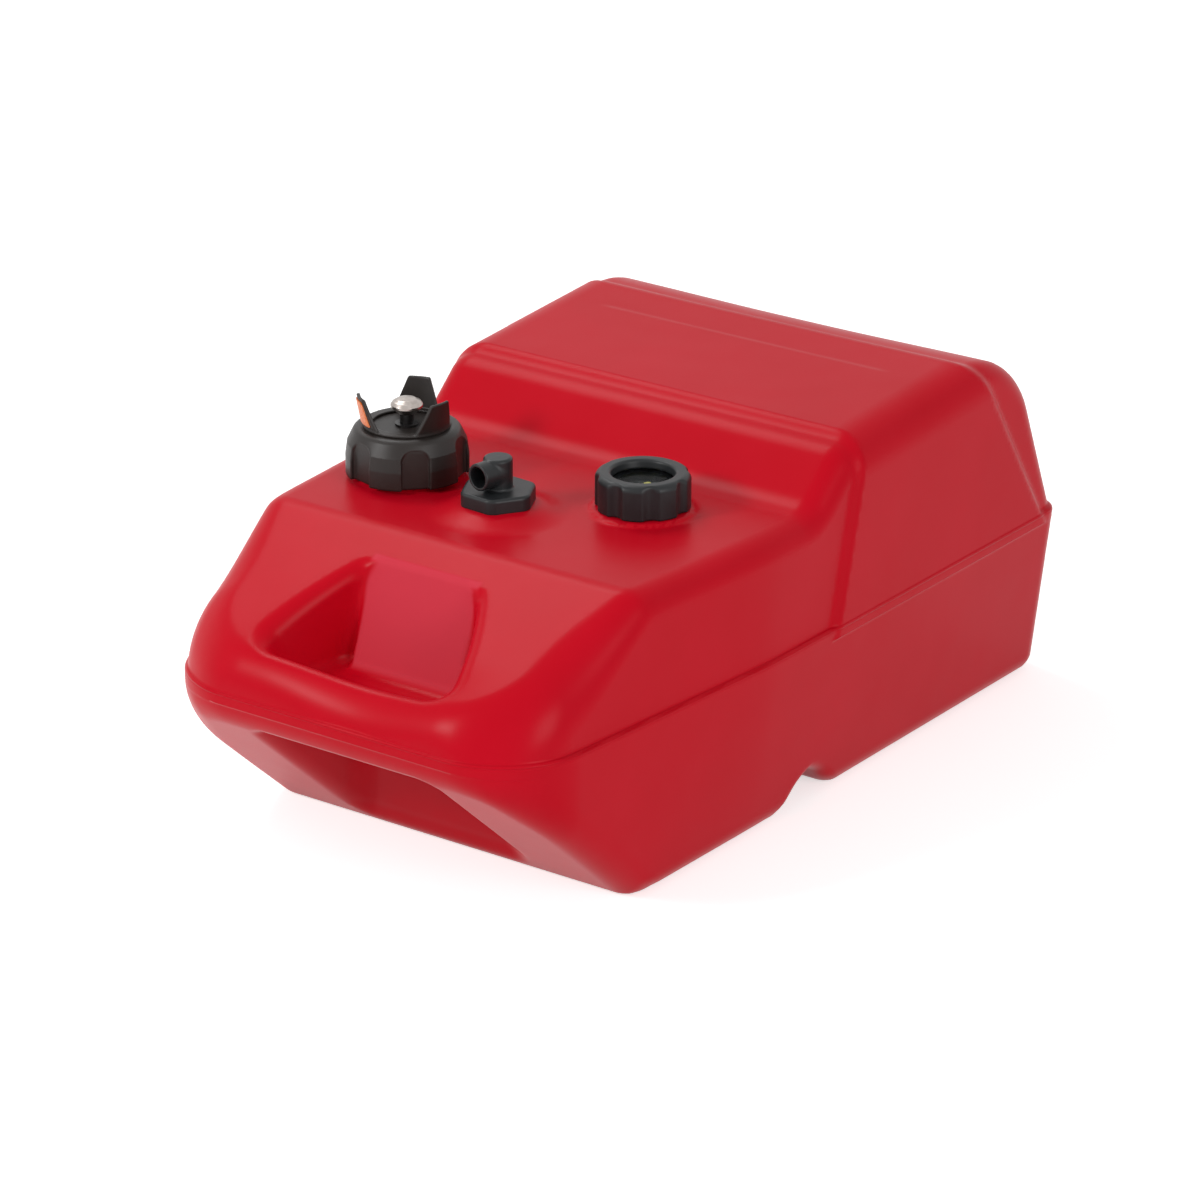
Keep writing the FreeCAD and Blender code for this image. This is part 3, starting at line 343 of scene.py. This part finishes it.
def finish(name):
    # A new material, with its tree, its shader and where each point lies on the object. A pattern's
    # scale is 1000 over the size of its cells in millimetres.
    material = bpy.data.materials.new(name)
    material.use_nodes = True
    tree = material.node_tree
    place = add(tree, "ShaderNodeTexCoord").outputs["Object"]
    return material, tree, tree.nodes["Principled BSDF"], place


# Blow-moulded polyethylene. The blasted face of the mould leaves a satin skin that swells faintly, and
# the pigment clouds a little. The real grain is too fine to show, so it is drawn at 0.7 mm. The
# specular level is below the plastic's own, whose sheen would pale the deep red.
red, tree, shader, place = finish("blow_moulded_red_polyethylene")
flow = add(tree, "ShaderNodeTexNoise", Vector=place, Scale=1000 / 70, Detail=3.0).outputs["Fac"]
tint = add(tree, "ShaderNodeMix", {"data_type": "RGBA"}, i0=flow, i6=colour("#BE0218"), i7=colour("#C80A22"))
grain = add(tree, "ShaderNodeTexNoise", Vector=place, Scale=1000 / 0.7, Detail=2.0).outputs["Fac"]
swell = add(tree, "ShaderNodeTexNoise", Vector=place, Scale=1000 / 45, Detail=1.0).outputs["Fac"]
# The two halves of the mould leave a fine parting line all round, at the seam.
height = add(tree, "ShaderNodeSeparateXYZ", Vector=place).outputs["Z"]
from_seam = add(tree, "ShaderNodeMath", {"operation": "SUBTRACT"}, i0=height, i1=seam / 1000).outputs[0]
off_seam = add(tree, "ShaderNodeMath", {"operation": "ABSOLUTE"}, i0=from_seam).outputs[0]
parting = add(tree, "ShaderNodeMapRange", {"interpolation_type": "SMOOTHSTEP"}, Value=off_seam,
              From_Min=0.0003, From_Max=0.0014, To_Min=1.0, To_Max=0.0).outputs[0]
# The face of the pocket's tongue is duller, and painted paler: a painted sheen where the lamps light it.
sideways = add(tree, "ShaderNodeSeparateXYZ", Vector=place).outputs["X"]
across = add(tree, "ShaderNodeMath", {"operation": "ABSOLUTE"}, i0=sideways).outputs[0]
onward = add(tree, "ShaderNodeVectorMath", {"operation": "DOT_PRODUCT"}, i0=place,
             i1=(0.0, -1.0, tongue_lean)).outputs["Value"]
face_onward = (tongue_front + tongue_lean * pocket_floor) / 1000
from_face = add(tree, "ShaderNodeMath", {"operation": "SUBTRACT"}, i0=onward, i1=face_onward).outputs[0]
off_face = add(tree, "ShaderNodeMath", {"operation": "ABSOLUTE"}, i0=from_face).outputs[0]
on_face = add(tree, "ShaderNodeMapRange", {"interpolation_type": "SMOOTHSTEP"}, Value=off_face,
              From_Min=0.001, From_Max=0.003, To_Min=1.0, To_Max=0.0).outputs[0]
within = add(tree, "ShaderNodeMapRange", {"interpolation_type": "SMOOTHSTEP"}, Value=across,
             From_Min=(tongue_half_width - tongue_radius) / 1000, From_Max=tongue_half_width / 1000,
             To_Min=1.0, To_Max=0.0).outputs[0]
face = add(tree, "ShaderNodeMath", {"operation": "MULTIPLY"}, i0=on_face, i1=within).outputs[0]
above = add(tree, "ShaderNodeMapRange", Value=height, From_Min=(pocket_floor + 0.5) / 1000,
            From_Max=(pocket_floor + 4.5) / 1000).outputs[0]
face = add(tree, "ShaderNodeMath", {"operation": "MULTIPLY"}, i0=face, i1=above).outputs[0]
# Painted light: the tongue's face is mixed to a paler red, a painted sheen.
painted_tongue_sheen = add(tree, "ShaderNodeMix", {"data_type": "RGBA"}, i0=face, i6=tint.outputs[2], i7=colour("#D03848"))
rough = add(tree, "ShaderNodeMapRange", Value=face, To_Min=0.32, To_Max=0.6)
ridge = add(tree, "ShaderNodeBump", Height=parting, Strength=0.8, Distance=0.0006)
waves = add(tree, "ShaderNodeBump", Height=swell, Strength=0.25, Distance=0.0012,
            Normal=ridge.outputs["Normal"])
bump = add(tree, "ShaderNodeBump", Height=grain, Strength=0.25, Distance=0.0001,
           Normal=waves.outputs["Normal"])
wire(tree, shader, Base_Color=painted_tongue_sheen.outputs[2], Roughness=rough.outputs[0], Normal=bump.outputs["Normal"],
     Specular_IOR_Level=0.08)
tank.data.materials.append(red)


# Filler neck: a plain tube of the tank's own polyethylene, moulded in one with it. One ridge of
# right-handed thread climbs it for a turn and a quarter.
neck_radius, neck_bore, neck_foot, neck_top = 28.5, 24.0, 196.0, 223.5


def around(centre, half, bottom, top):
    # The box round a fitting's centre in which its mesh is worked out.
    return (centre[0] - half, centre[1] - half, bottom), (centre[0] + half, centre[1] + half, top)


def thread_line(reach, turn, z, start, turns, lead, root, depth, width):
    # Ridge that climbs one lead a turn, from its start height, round a radius.
    flank = 0.5
    climbed = turn / (2 * np.pi)
    middle = start + lead * (climbed + np.floor((z - start) / lead - climbed + 0.5))
    ends = np.maximum(start - middle, middle - start - lead * turns)
    side = np.abs(z - middle) - width / 2 + flank * (reach - root - depth / 2)
    ridge = edge(side, reach - root - depth, radius=0.5)
    return np.maximum(np.maximum(ridge, root - 1.0 - reach), ends)


def neck_walls(x, y, z):
    reach = np.hypot(x - filler[0], y - filler[1])
    turn = np.mod(np.arctan2(y - filler[1], x - filler[0]), 2 * np.pi)
    tube = edge(edge(reach - neck_radius, neck_bore - reach, radius=0.8), z - neck_top, radius=0.8)
    ridge = thread_line(reach, turn, z, start=211.0, turns=1.25, lead=6.0, root=neck_radius, depth=1.5,
                        width=2.0)
    return np.maximum(fillet(tube, ridge, radius=0.4), neck_foot - z)


neck = moulded("filler_neck", neck_walls, *around(filler, 32, 195, 225), step=0.9)
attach(neck, "tank")
neck.data.materials.append(red)


# Filler cap shell: an injection moulding of black glass-filled nylon that grips the closure inside it.
# A round skirt with six arched finger scallops draws in to a flat top that carries the vane guard.
skirt_heights, skirt_radii = (213.0, 221.5, 228.3, 233.0), (38.5, 37.3, 34.0, 31.4)
cap_foot, cap_top, cap_hollow, cap_hollow_top, stem_hole = 201.0, 231.5, 32.6, 228.1, 5.35


def arc_share(x, y, centre, first, count):
    # Radius, sideways distance and outward distance inside one of the equal shares round a centre.
    reach, turn = np.hypot(x - centre[0], y - centre[1]), np.arctan2(y - centre[1], x - centre[0])
    share = 2 * np.pi / count
    turn = np.mod(turn - math.radians(first) + share / 2, share) - share / 2
    return reach, reach * np.sin(turn), reach * np.cos(turn)


def cap_walls(x, y, z):
    skirt_lean, scallop_half_width, scallop_top, scallop_floor = 0.93, 8.75, 226.5, 34.7
    reach, sideways, outward = arc_share(x, y, filler, first=-44.0, count=6)
    skirt = (reach - np.interp(z, skirt_heights, skirt_radii)) * skirt_lean
    body = edge(skirt, z - cap_top, radius=2.6)
    arch = edge(np.abs(sideways) - scallop_half_width, z - scallop_top, radius=7.2)
    body = edge(body, -edge(arch, scallop_floor - outward, radius=1.2), radius=1.1)
    body = edge(body, cap_foot - z, radius=0.5)
    body = np.maximum(body, -edge(reach - cap_hollow, z - cap_hollow_top, radius=0.6))
    return np.maximum(body, stem_hole - reach)


cap = moulded("cap_moulding", cap_walls, *around(filler, 40, 199, 233), step=0.72)
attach(cap, "cap")
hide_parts("cap_shell")

# Glass-filled nylon from a spark-eroded mould: matt to satin, a little brown in the light, with small
# pits that break up its highlights. The pits are drawn at 0.5 mm, coarser than real, so that they show.
black, tree, shader, place = finish("grained_black_nylon")
cloud = add(tree, "ShaderNodeTexNoise", Vector=place, Scale=1000 / 12, Detail=3.0).outputs["Fac"]
tint = add(tree, "ShaderNodeMix", {"data_type": "RGBA"}, i0=cloud, i6=colour("#1C1614"), i7=colour("#26201D"))
rough = add(tree, "ShaderNodeMapRange", Value=cloud, To_Min=0.36, To_Max=0.5)
grain = add(tree, "ShaderNodeTexVoronoi", Vector=place, Scale=1000 / 0.5).outputs["Distance"]
bump = add(tree, "ShaderNodeBump", Height=grain, Strength=0.35, Distance=0.00008)
wire(tree, shader, Base_Color=tint.outputs[2], Roughness=rough.outputs[0], Normal=bump.outputs["Normal"],
     Specular_IOR_Level=0.35)
cap.data.materials.append(black)


# Vane guard: a ring with three upright vanes that keep knocks off the vent button. It is moulded in the
# cap's black nylon and sits on the cap's flat top.
guard_radius, guard_bore, guard_foot, vane_foot, vane_top = 27.4, 21.5, 232.0, 232.75, 252.5


def vane_walls(x, y, z):
    vane_lean, half_wall, half_width, narrowing = 0.1818, 1.1, 14.5, 0.379
    square_to_wall, square_to_side, ring_middle, ring_half_height = 0.984, 0.935, 232.35, 0.8
    reach, sideways, outward = arc_share(x, y, filler, first=112.0, count=3)
    rise = z - vane_foot
    wall = np.abs(reach - guard_radius - vane_lean * rise + half_wall) * square_to_wall - half_wall
    sides = (np.abs(sideways) - half_width + narrowing * rise) * square_to_side
    vane = edge(wall, sides, radius=0.7)
    vane = np.maximum(edge(vane, z - vane_top, radius=0.9), guard_foot - z)
    ring = edge(reach - guard_radius, guard_bore - reach, radius=0.4)
    ring = edge(ring, np.abs(z - ring_middle) - ring_half_height, radius=0.4)
    return fillet(vane, ring, radius=0.8)


guard = moulded("vane_moulding", vane_walls, *around(filler, 33, 230, 254),
                step=0.55)
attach(guard, "cap")
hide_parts("cap_vane_guard")
guard.data.materials.append(black)


# Orange face: a skin of orange polypropylene over the outside of one vane, moulded on in a second shot.
# Thick pigment keeps it bright and even, with a soft sheen. Its grain is drawn coarse, at 0.6 mm.
def dress(name, material):
    # Gives a carried-over piece its material.
    piece = nodes[name]
    piece.data.materials.clear()
    piece.data.materials.append(material)


orange, tree, shader, place = finish("orange_polypropylene")
cloud = add(tree, "ShaderNodeTexNoise", Vector=place, Scale=1000 / 6, Detail=2.0).outputs["Fac"]
tint = add(tree, "ShaderNodeMix", {"data_type": "RGBA"}, i0=cloud, i6=colour("#DA5A12"), i7=colour("#EE8A3A"))
grain = add(tree, "ShaderNodeTexNoise", Vector=place, Scale=1000 / 0.6, Detail=2.0).outputs["Fac"]
bump = add(tree, "ShaderNodeBump", Height=grain, Strength=0.2, Distance=0.00006)
wire(tree, shader, Base_Color=tint.outputs[2], Roughness=0.4, Normal=bump.outputs["Normal"])
dress("cap_vane_insert", orange)


# Vent button: a small stainless steel dome, turned, tumbled and pressed over the stem. Tumbling leaves
# it satin with a few worn bright spots, and the faint lines of the tool still run round it.
steel, tree, shader, place = finish("turned_stainless_steel")
centred = add(tree, "ShaderNodeMapping", Vector=place,
              Location=(-filler[0] / 1000, -filler[1] / 1000, 0.0)).outputs["Vector"]
lines = add(tree, "ShaderNodeTexWave", {"wave_type": "RINGS", "rings_direction": "Z"}, Vector=centred,
            Scale=1000 / 6, Distortion=0.6, Detail=2.0).outputs["Fac"]
wear = add(tree, "ShaderNodeTexNoise", Vector=place, Scale=1000 / 3, Detail=4.0).outputs["Fac"]
tint = add(tree, "ShaderNodeMix", {"data_type": "RGBA"}, i0=wear, i6=colour("#9A908A"), i7=colour("#C6BDB7"))
rough = add(tree, "ShaderNodeMapRange", Value=wear, To_Min=0.24, To_Max=0.4)
bump = add(tree, "ShaderNodeBump", Height=lines, Strength=0.12, Distance=0.00003)
wire(tree, shader, Base_Color=tint.outputs[2], Roughness=rough.outputs[0], Normal=bump.outputs["Normal"],
     Metallic=1.0)
dress("vent_button", steel)


# Vent stem and its bush in the cap: black acetal from a polished mould, which slides without grease.
# The polish leaves it smooth, with a clear sheen.
acetal, tree, shader, place = finish("smooth_black_acetal")
cloud = add(tree, "ShaderNodeTexNoise", Vector=place, Scale=1000 / 5, Detail=2.0).outputs["Fac"]
tint = add(tree, "ShaderNodeMix", {"data_type": "RGBA"}, i0=cloud, i6=colour("#1C1A1A"), i7=colour("#252222"))
rough = add(tree, "ShaderNodeMapRange", Value=cloud, To_Min=0.28, To_Max=0.38)
wire(tree, shader, Base_Color=tint.outputs[2], Roughness=rough.outputs[0])
for name in ("vent_stem", "vent_bush"):
    dress(name, acetal)


# Threaded closure inside the cap, which screws down on the filler neck: plain black polypropylene, left
# as it comes from the mould, with an even and rather dull skin.
closure, tree, shader, place = finish("plain_black_polypropylene")
cloud = add(tree, "ShaderNodeTexNoise", Vector=place, Scale=1000 / 9, Detail=3.0).outputs["Fac"]
tint = add(tree, "ShaderNodeMix", {"data_type": "RGBA"}, i0=cloud, i6=colour("#1E1D1D"), i7=colour("#292726"))
wire(tree, shader, Base_Color=tint.outputs[2], Roughness=0.5)
dress("cap_closure", closure)


# Seals in the cap, on the vent disc and under the pickup and the gauge: nitrile rubber, cut from sheet
# or moulded. It is nearly black and dull, with a faint bloom on its skin.
rubber, tree, shader, place = finish("nitrile_rubber")
bloom = add(tree, "ShaderNodeTexNoise", Vector=place, Scale=1000 / 4, Detail=4.0).outputs["Fac"]
tint = add(tree, "ShaderNodeMix", {"data_type": "RGBA"}, i0=bloom, i6=colour("#131313"), i7=colour("#1F1E1D"))
wire(tree, shader, Base_Color=tint.outputs[2], Roughness=0.66)
for name in ("cap_gasket", "vent_valve_disc", "pickup_seal", "gauge_gasket"):
    dress(name, rubber)


# Springs, clip, float arm, pivot pin and check ball: stainless steel, the wires drawn and the pin and
# ball ground. Both leave a bright hard skin with fine changes in its sheen.
wire_steel, tree, shader, place = finish("drawn_stainless_wire")
drawn = add(tree, "ShaderNodeTexNoise", Vector=place, Scale=1000 / 1.5, Detail=3.0).outputs["Fac"]
tint = add(tree, "ShaderNodeMix", {"data_type": "RGBA"}, i0=drawn, i6=colour("#86868A"), i7=colour("#AEAEB2"))
rough = add(tree, "ShaderNodeMapRange", Value=drawn, To_Min=0.25, To_Max=0.42)
wire(tree, shader, Base_Color=tint.outputs[2], Roughness=rough.outputs[0], Metallic=1.0)
for name in ("vent_spring", "vent_retaining_clip", "pickup_check_spring", "pickup_check_ball", "float_arm",
             "float_pivot_pin"):
    dress(name, wire_steel)


# Hose pickup: one charcoal acetal moulding that stands on its seal in the deck. It has a rounded
# six-sided foot, an upright post and a side port for the hose fitting.
foot_bottom, foot_top, foot_half, foot_heading = 204.15, 213.65, 21.65, -64.0
post_radius, post_top, spigot_radius, spigot_middle, spigot_half = 9.0, 233.65, 11.3, 197.0, 8.0
port_heading, port_height, port_radius, port_end, port_bore = 10.0, 224.15, 8.6, 17.0, 6.6


def pickup_walls(x, y, z):
    post_foot, port_bore_floor, bore_reach, fuel_way = 206.0, 5.0, 30.0, 2.6
    u, v = x - pickup[0], y - pickup[1]
    reach = np.hypot(u, v)
    foot = None
    for i in range(3):
        heading = math.radians(foot_heading + 30.0 + 60.0 * i)
        flat = np.abs(u * math.cos(heading) + v * math.sin(heading)) - foot_half
        foot = flat if foot is None else edge(foot, flat, radius=4.0)
    foot = edge(edge(foot, z - foot_top, radius=2.2), foot_bottom - z, radius=0.4)
    post = np.maximum(edge(reach - post_radius, z - post_top, radius=2.0), post_foot - z)
    turn = math.radians(port_heading)
    along = -u * math.sin(turn) - v * math.cos(turn)
    off = np.hypot(u * math.cos(turn) - v * math.sin(turn), z - port_height)
    port = np.maximum(edge(off - port_radius, along - port_end, radius=1.0), -along)
    body = fillet(fillet(foot, post, radius=1.6), port, radius=1.2)
    spigot = np.maximum(reach - spigot_radius, np.abs(z - spigot_middle) - spigot_half)
    body = fillet(body, spigot, radius=0.4)
    bore = np.maximum(edge(off - port_bore, port_bore_floor - along, radius=0.5), along - bore_reach)
    return edge(edge(body, -bore, radius=0.5), -np.maximum(off - fuel_way, -along), radius=0.3)


fitting = moulded("pickup_moulding", pickup_walls, *around(pickup, 27, 187, 235),
                  step=0.62)
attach(fitting, "tank")
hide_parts("pickup_body")

# Acetal from a lightly eroded mould: dark, tight and satin, with a cooler black than the cap's. The
# grain is drawn at 0.8 mm so that it shows.
charcoal, tree, shader, place = finish("charcoal_acetal")
cloud = add(tree, "ShaderNodeTexNoise", Vector=place, Scale=1000 / 10, Detail=3.0).outputs["Fac"]
tint = add(tree, "ShaderNodeMix", {"data_type": "RGBA"}, i0=cloud, i6=colour("#191B1C"), i7=colour("#222426"))
rough = add(tree, "ShaderNodeMapRange", Value=cloud, To_Min=0.34, To_Max=0.46)
grain = add(tree, "ShaderNodeTexNoise", Vector=place, Scale=1000 / 0.8, Detail=2.0).outputs["Fac"]
bump = add(tree, "ShaderNodeBump", Height=grain, Strength=0.25, Distance=0.00008)
wire(tree, shader, Base_Color=tint.outputs[2], Roughness=rough.outputs[0], Normal=bump.outputs["Normal"],
     Specular_IOR_Level=0.3)
fitting.data.materials.append(charcoal)


# Dip tube, strainer, gauge shaft and gears: unpigmented acetal, pushed or pinned into their places.
# Undyed, it is milky, and light goes a little way in, so it looks waxy.
natural, tree, shader, place = finish("natural_acetal")
cloud = add(tree, "ShaderNodeTexNoise", Vector=place, Scale=1000 / 15, Detail=3.0).outputs["Fac"]
tint = add(tree, "ShaderNodeMix", {"data_type": "RGBA"}, i0=cloud, i6=colour("#D2CBB8"), i7=colour("#E2DDCF"))
wire(tree, shader, Base_Color=tint.outputs[2], Roughness=0.42, Subsurface_Weight=0.15,
     Subsurface_Scale=0.002)
for name in ("pickup_dip_tube", "pickup_strainer", "gauge_shaft", "gauge_pinion", "float_gear"):
    dress(name, natural)


# Gauge ring nut: a charcoal moulding that holds the gauge down on its neck. Eight shallow hollows give
# the hand a grip, and a flared well leads down to the window.
nut_radius, nut_foot, nut_top, well_radius, well_flare, flare_from = 29.5, 200.7, 222.95, 19.0, 0.22, 218.3
hollow_radius, hollow_centre, nut_bore, nut_bore_top = 7.0, 34.3, 22.9, 217.5


def nut_walls(x, y, z):
    reach, sideways, outward = arc_share(x, y, gauge, first=0.0, count=8)
    body = edge(edge(reach - nut_radius, z - nut_top, radius=4.2), nut_foot - z, radius=0.6)
    body = edge(body, hollow_radius - np.hypot(outward - hollow_centre, sideways), radius=1.2)
    body = edge(body, well_radius + well_flare * np.maximum(z - flare_from, 0) - reach, radius=1.8)
    return edge(body, -np.maximum(reach - nut_bore, z - nut_bore_top), radius=0.3)


nut = moulded("nut_moulding", nut_walls, *around(gauge, 31, 199, 225), step=0.62)
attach(nut, "tank")
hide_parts("gauge_ring_nut")
nut.data.materials.append(charcoal)
dress("gauge_housing", charcoal)


# Gauge face: a dial, a pointer over it and a window clamped on top by the ring nut. The dial is a matt
# black moulding, dull so that the pointer stands out.
dial, tree, shader, place = finish("matt_black_dial")
cloud = add(tree, "ShaderNodeTexNoise", Vector=place, Scale=1000 / 4, Detail=3.0).outputs["Fac"]
tint = add(tree, "ShaderNodeMix", {"data_type": "RGBA"}, i0=cloud, i6=colour("#161618"), i7=colour("#202022"))
wire(tree, shader, Base_Color=tint.outputs[2], Roughness=0.6)
dress("gauge_dial", dial)

# Window: clear polycarbonate from a polished mould, with a slight haze. Its real index is about 1.58.
# Here it is 1.06 without specular, so that no reflection hides the dark well and the pointer.
window, tree, shader, place = finish("clear_polycarbonate")
haze = add(tree, "ShaderNodeTexNoise", Vector=place, Scale=1000 / 8, Detail=3.0).outputs["Fac"]
rough = add(tree, "ShaderNodeMapRange", Value=haze, To_Min=0.02, To_Max=0.08)
wire(tree, shader, Base_Color=colour("#E4E8EA"), Roughness=rough.outputs[0], Transmission_Weight=1.0,
     IOR=1.06, Specular_IOR_Level=0.0)
dress("gauge_lens", window)

# Pointer: pale yellow acetal, bright and even, with a soft sheen.
yellow, tree, shader, place = finish("pale_yellow_acetal")
cloud = add(tree, "ShaderNodeTexNoise", Vector=place, Scale=1000 / 3, Detail=2.0).outputs["Fac"]
tint = add(tree, "ShaderNodeMix", {"data_type": "RGBA"}, i0=cloud, i6=colour("#E2D24E"), i7=colour("#F0E480"))
wire(tree, shader, Base_Color=tint.outputs[2], Roughness=0.4)
dress("gauge_pointer", yellow)


# Float: closed-cell nitrile foam on the end of the wire arm, cut from block. The cut cells leave it
# dark grey, dull and faintly pitted.
foam, tree, shader, place = finish("closed_cell_nitrile_foam")
cells = add(tree, "ShaderNodeTexVoronoi", Vector=place, Scale=1000 / 1.2).outputs["Distance"]
tint = add(tree, "ShaderNodeMix", {"data_type": "RGBA"}, i0=cells, i6=colour("#26272A"), i7=colour("#3A3B3E"))
bump = add(tree, "ShaderNodeBump", Height=cells, Strength=0.5, Distance=0.0003)
wire(tree, shader, Base_Color=tint.outputs[2], Roughness=0.75, Normal=bump.outputs["Normal"])
dress("float", foam)


# Studio floor: pale seamless paper, which keeps the tank's shadow. It glows a little for the camera and
# in reflections, so that it is seen close to white.
floor_half, paper_glow = 8, 0.62
floor_corners = [(-floor_half, -floor_half, 0), (floor_half, -floor_half, 0), (floor_half, floor_half, 0),
                 (-floor_half, floor_half, 0)]
paper_mesh = bpy.data.meshes.new("floor")
paper_mesh.from_pydata(floor_corners, [], [(0, 1, 2, 3)])
floor = bpy.data.objects.new("floor", paper_mesh)
bpy.context.scene.collection.objects.link(floor)


def seen_ways(tree):
    # 1 for rays from the camera and for those that a glossy or clear surface sends on, otherwise 0.
    path = add(tree, "ShaderNodeLightPath")
    seen = add(tree, "ShaderNodeMath", {"operation": "MAXIMUM"}, i0=path.outputs["Is Camera Ray"],
               i1=path.outputs["Is Glossy Ray"])
    seen = add(tree, "ShaderNodeMath", {"operation": "MAXIMUM"}, i0=seen.outputs[0],
               i1=path.outputs["Is Transmission Ray"])
    return seen.outputs[0]


paper = bpy.data.materials.new("pale_paper")
paper.use_nodes = True
tree = paper.node_tree
glow = add(tree, "ShaderNodeMath", {"operation": "MULTIPLY"}, i0=seen_ways(tree), i1=paper_glow)
wire(tree, tree.nodes["Principled BSDF"], Base_Color=colour("#EDEDED"), Roughness=1.0,
     Specular_IOR_Level=0.0, Emission_Color=(1, 1, 1, 1), Emission_Strength=glow.outputs[0])
floor.data.materials.append(paper)


# Room: white behind everything for the camera and in reflections, but dim as a light, so that the lamps
# shape the red.
room_light, room_seen = 0.42, 1.0
world = bpy.data.worlds.new("studio")
bpy.context.scene.world = world
world.use_nodes = True
tree = world.node_tree
level = add(tree, "ShaderNodeMapRange", Value=seen_ways(tree), To_Min=room_light, To_Max=room_seen)
wire(tree, tree.nodes["Background"], Color=(1, 1, 1, 1), Strength=level.outputs[0])


# Lamps: a soft key overhead on the left, a low soft box on the front left and a fill on the right. All
# three point at the tank's middle. Places and widths are in metres, powers in watts.
lamp_target = Vector((0, 0, 0.12))
for name, lamp_place, width, power in (("key", (-1.0, 0.3, 1.75), 0.7, 9.5),
                                       ("front", (-0.9, -1.9, 1.3), 0.45, 21.0),
                                       ("side", (2.4, -0.8, 1.0), 1.1, 21.0)):
    lamp = bpy.data.lights.new(name, "AREA")
    lamp.size = width
    lamp.energy = power
    holder = bpy.data.objects.new(name, lamp)
    bpy.context.scene.collection.objects.link(holder)
    holder.location = lamp_place
    holder.rotation_euler = (lamp_target - Vector(lamp_place)).to_track_quat("-Z", "Y").to_euler()

bpy.context.scene.view_settings.view_transform = "Standard"
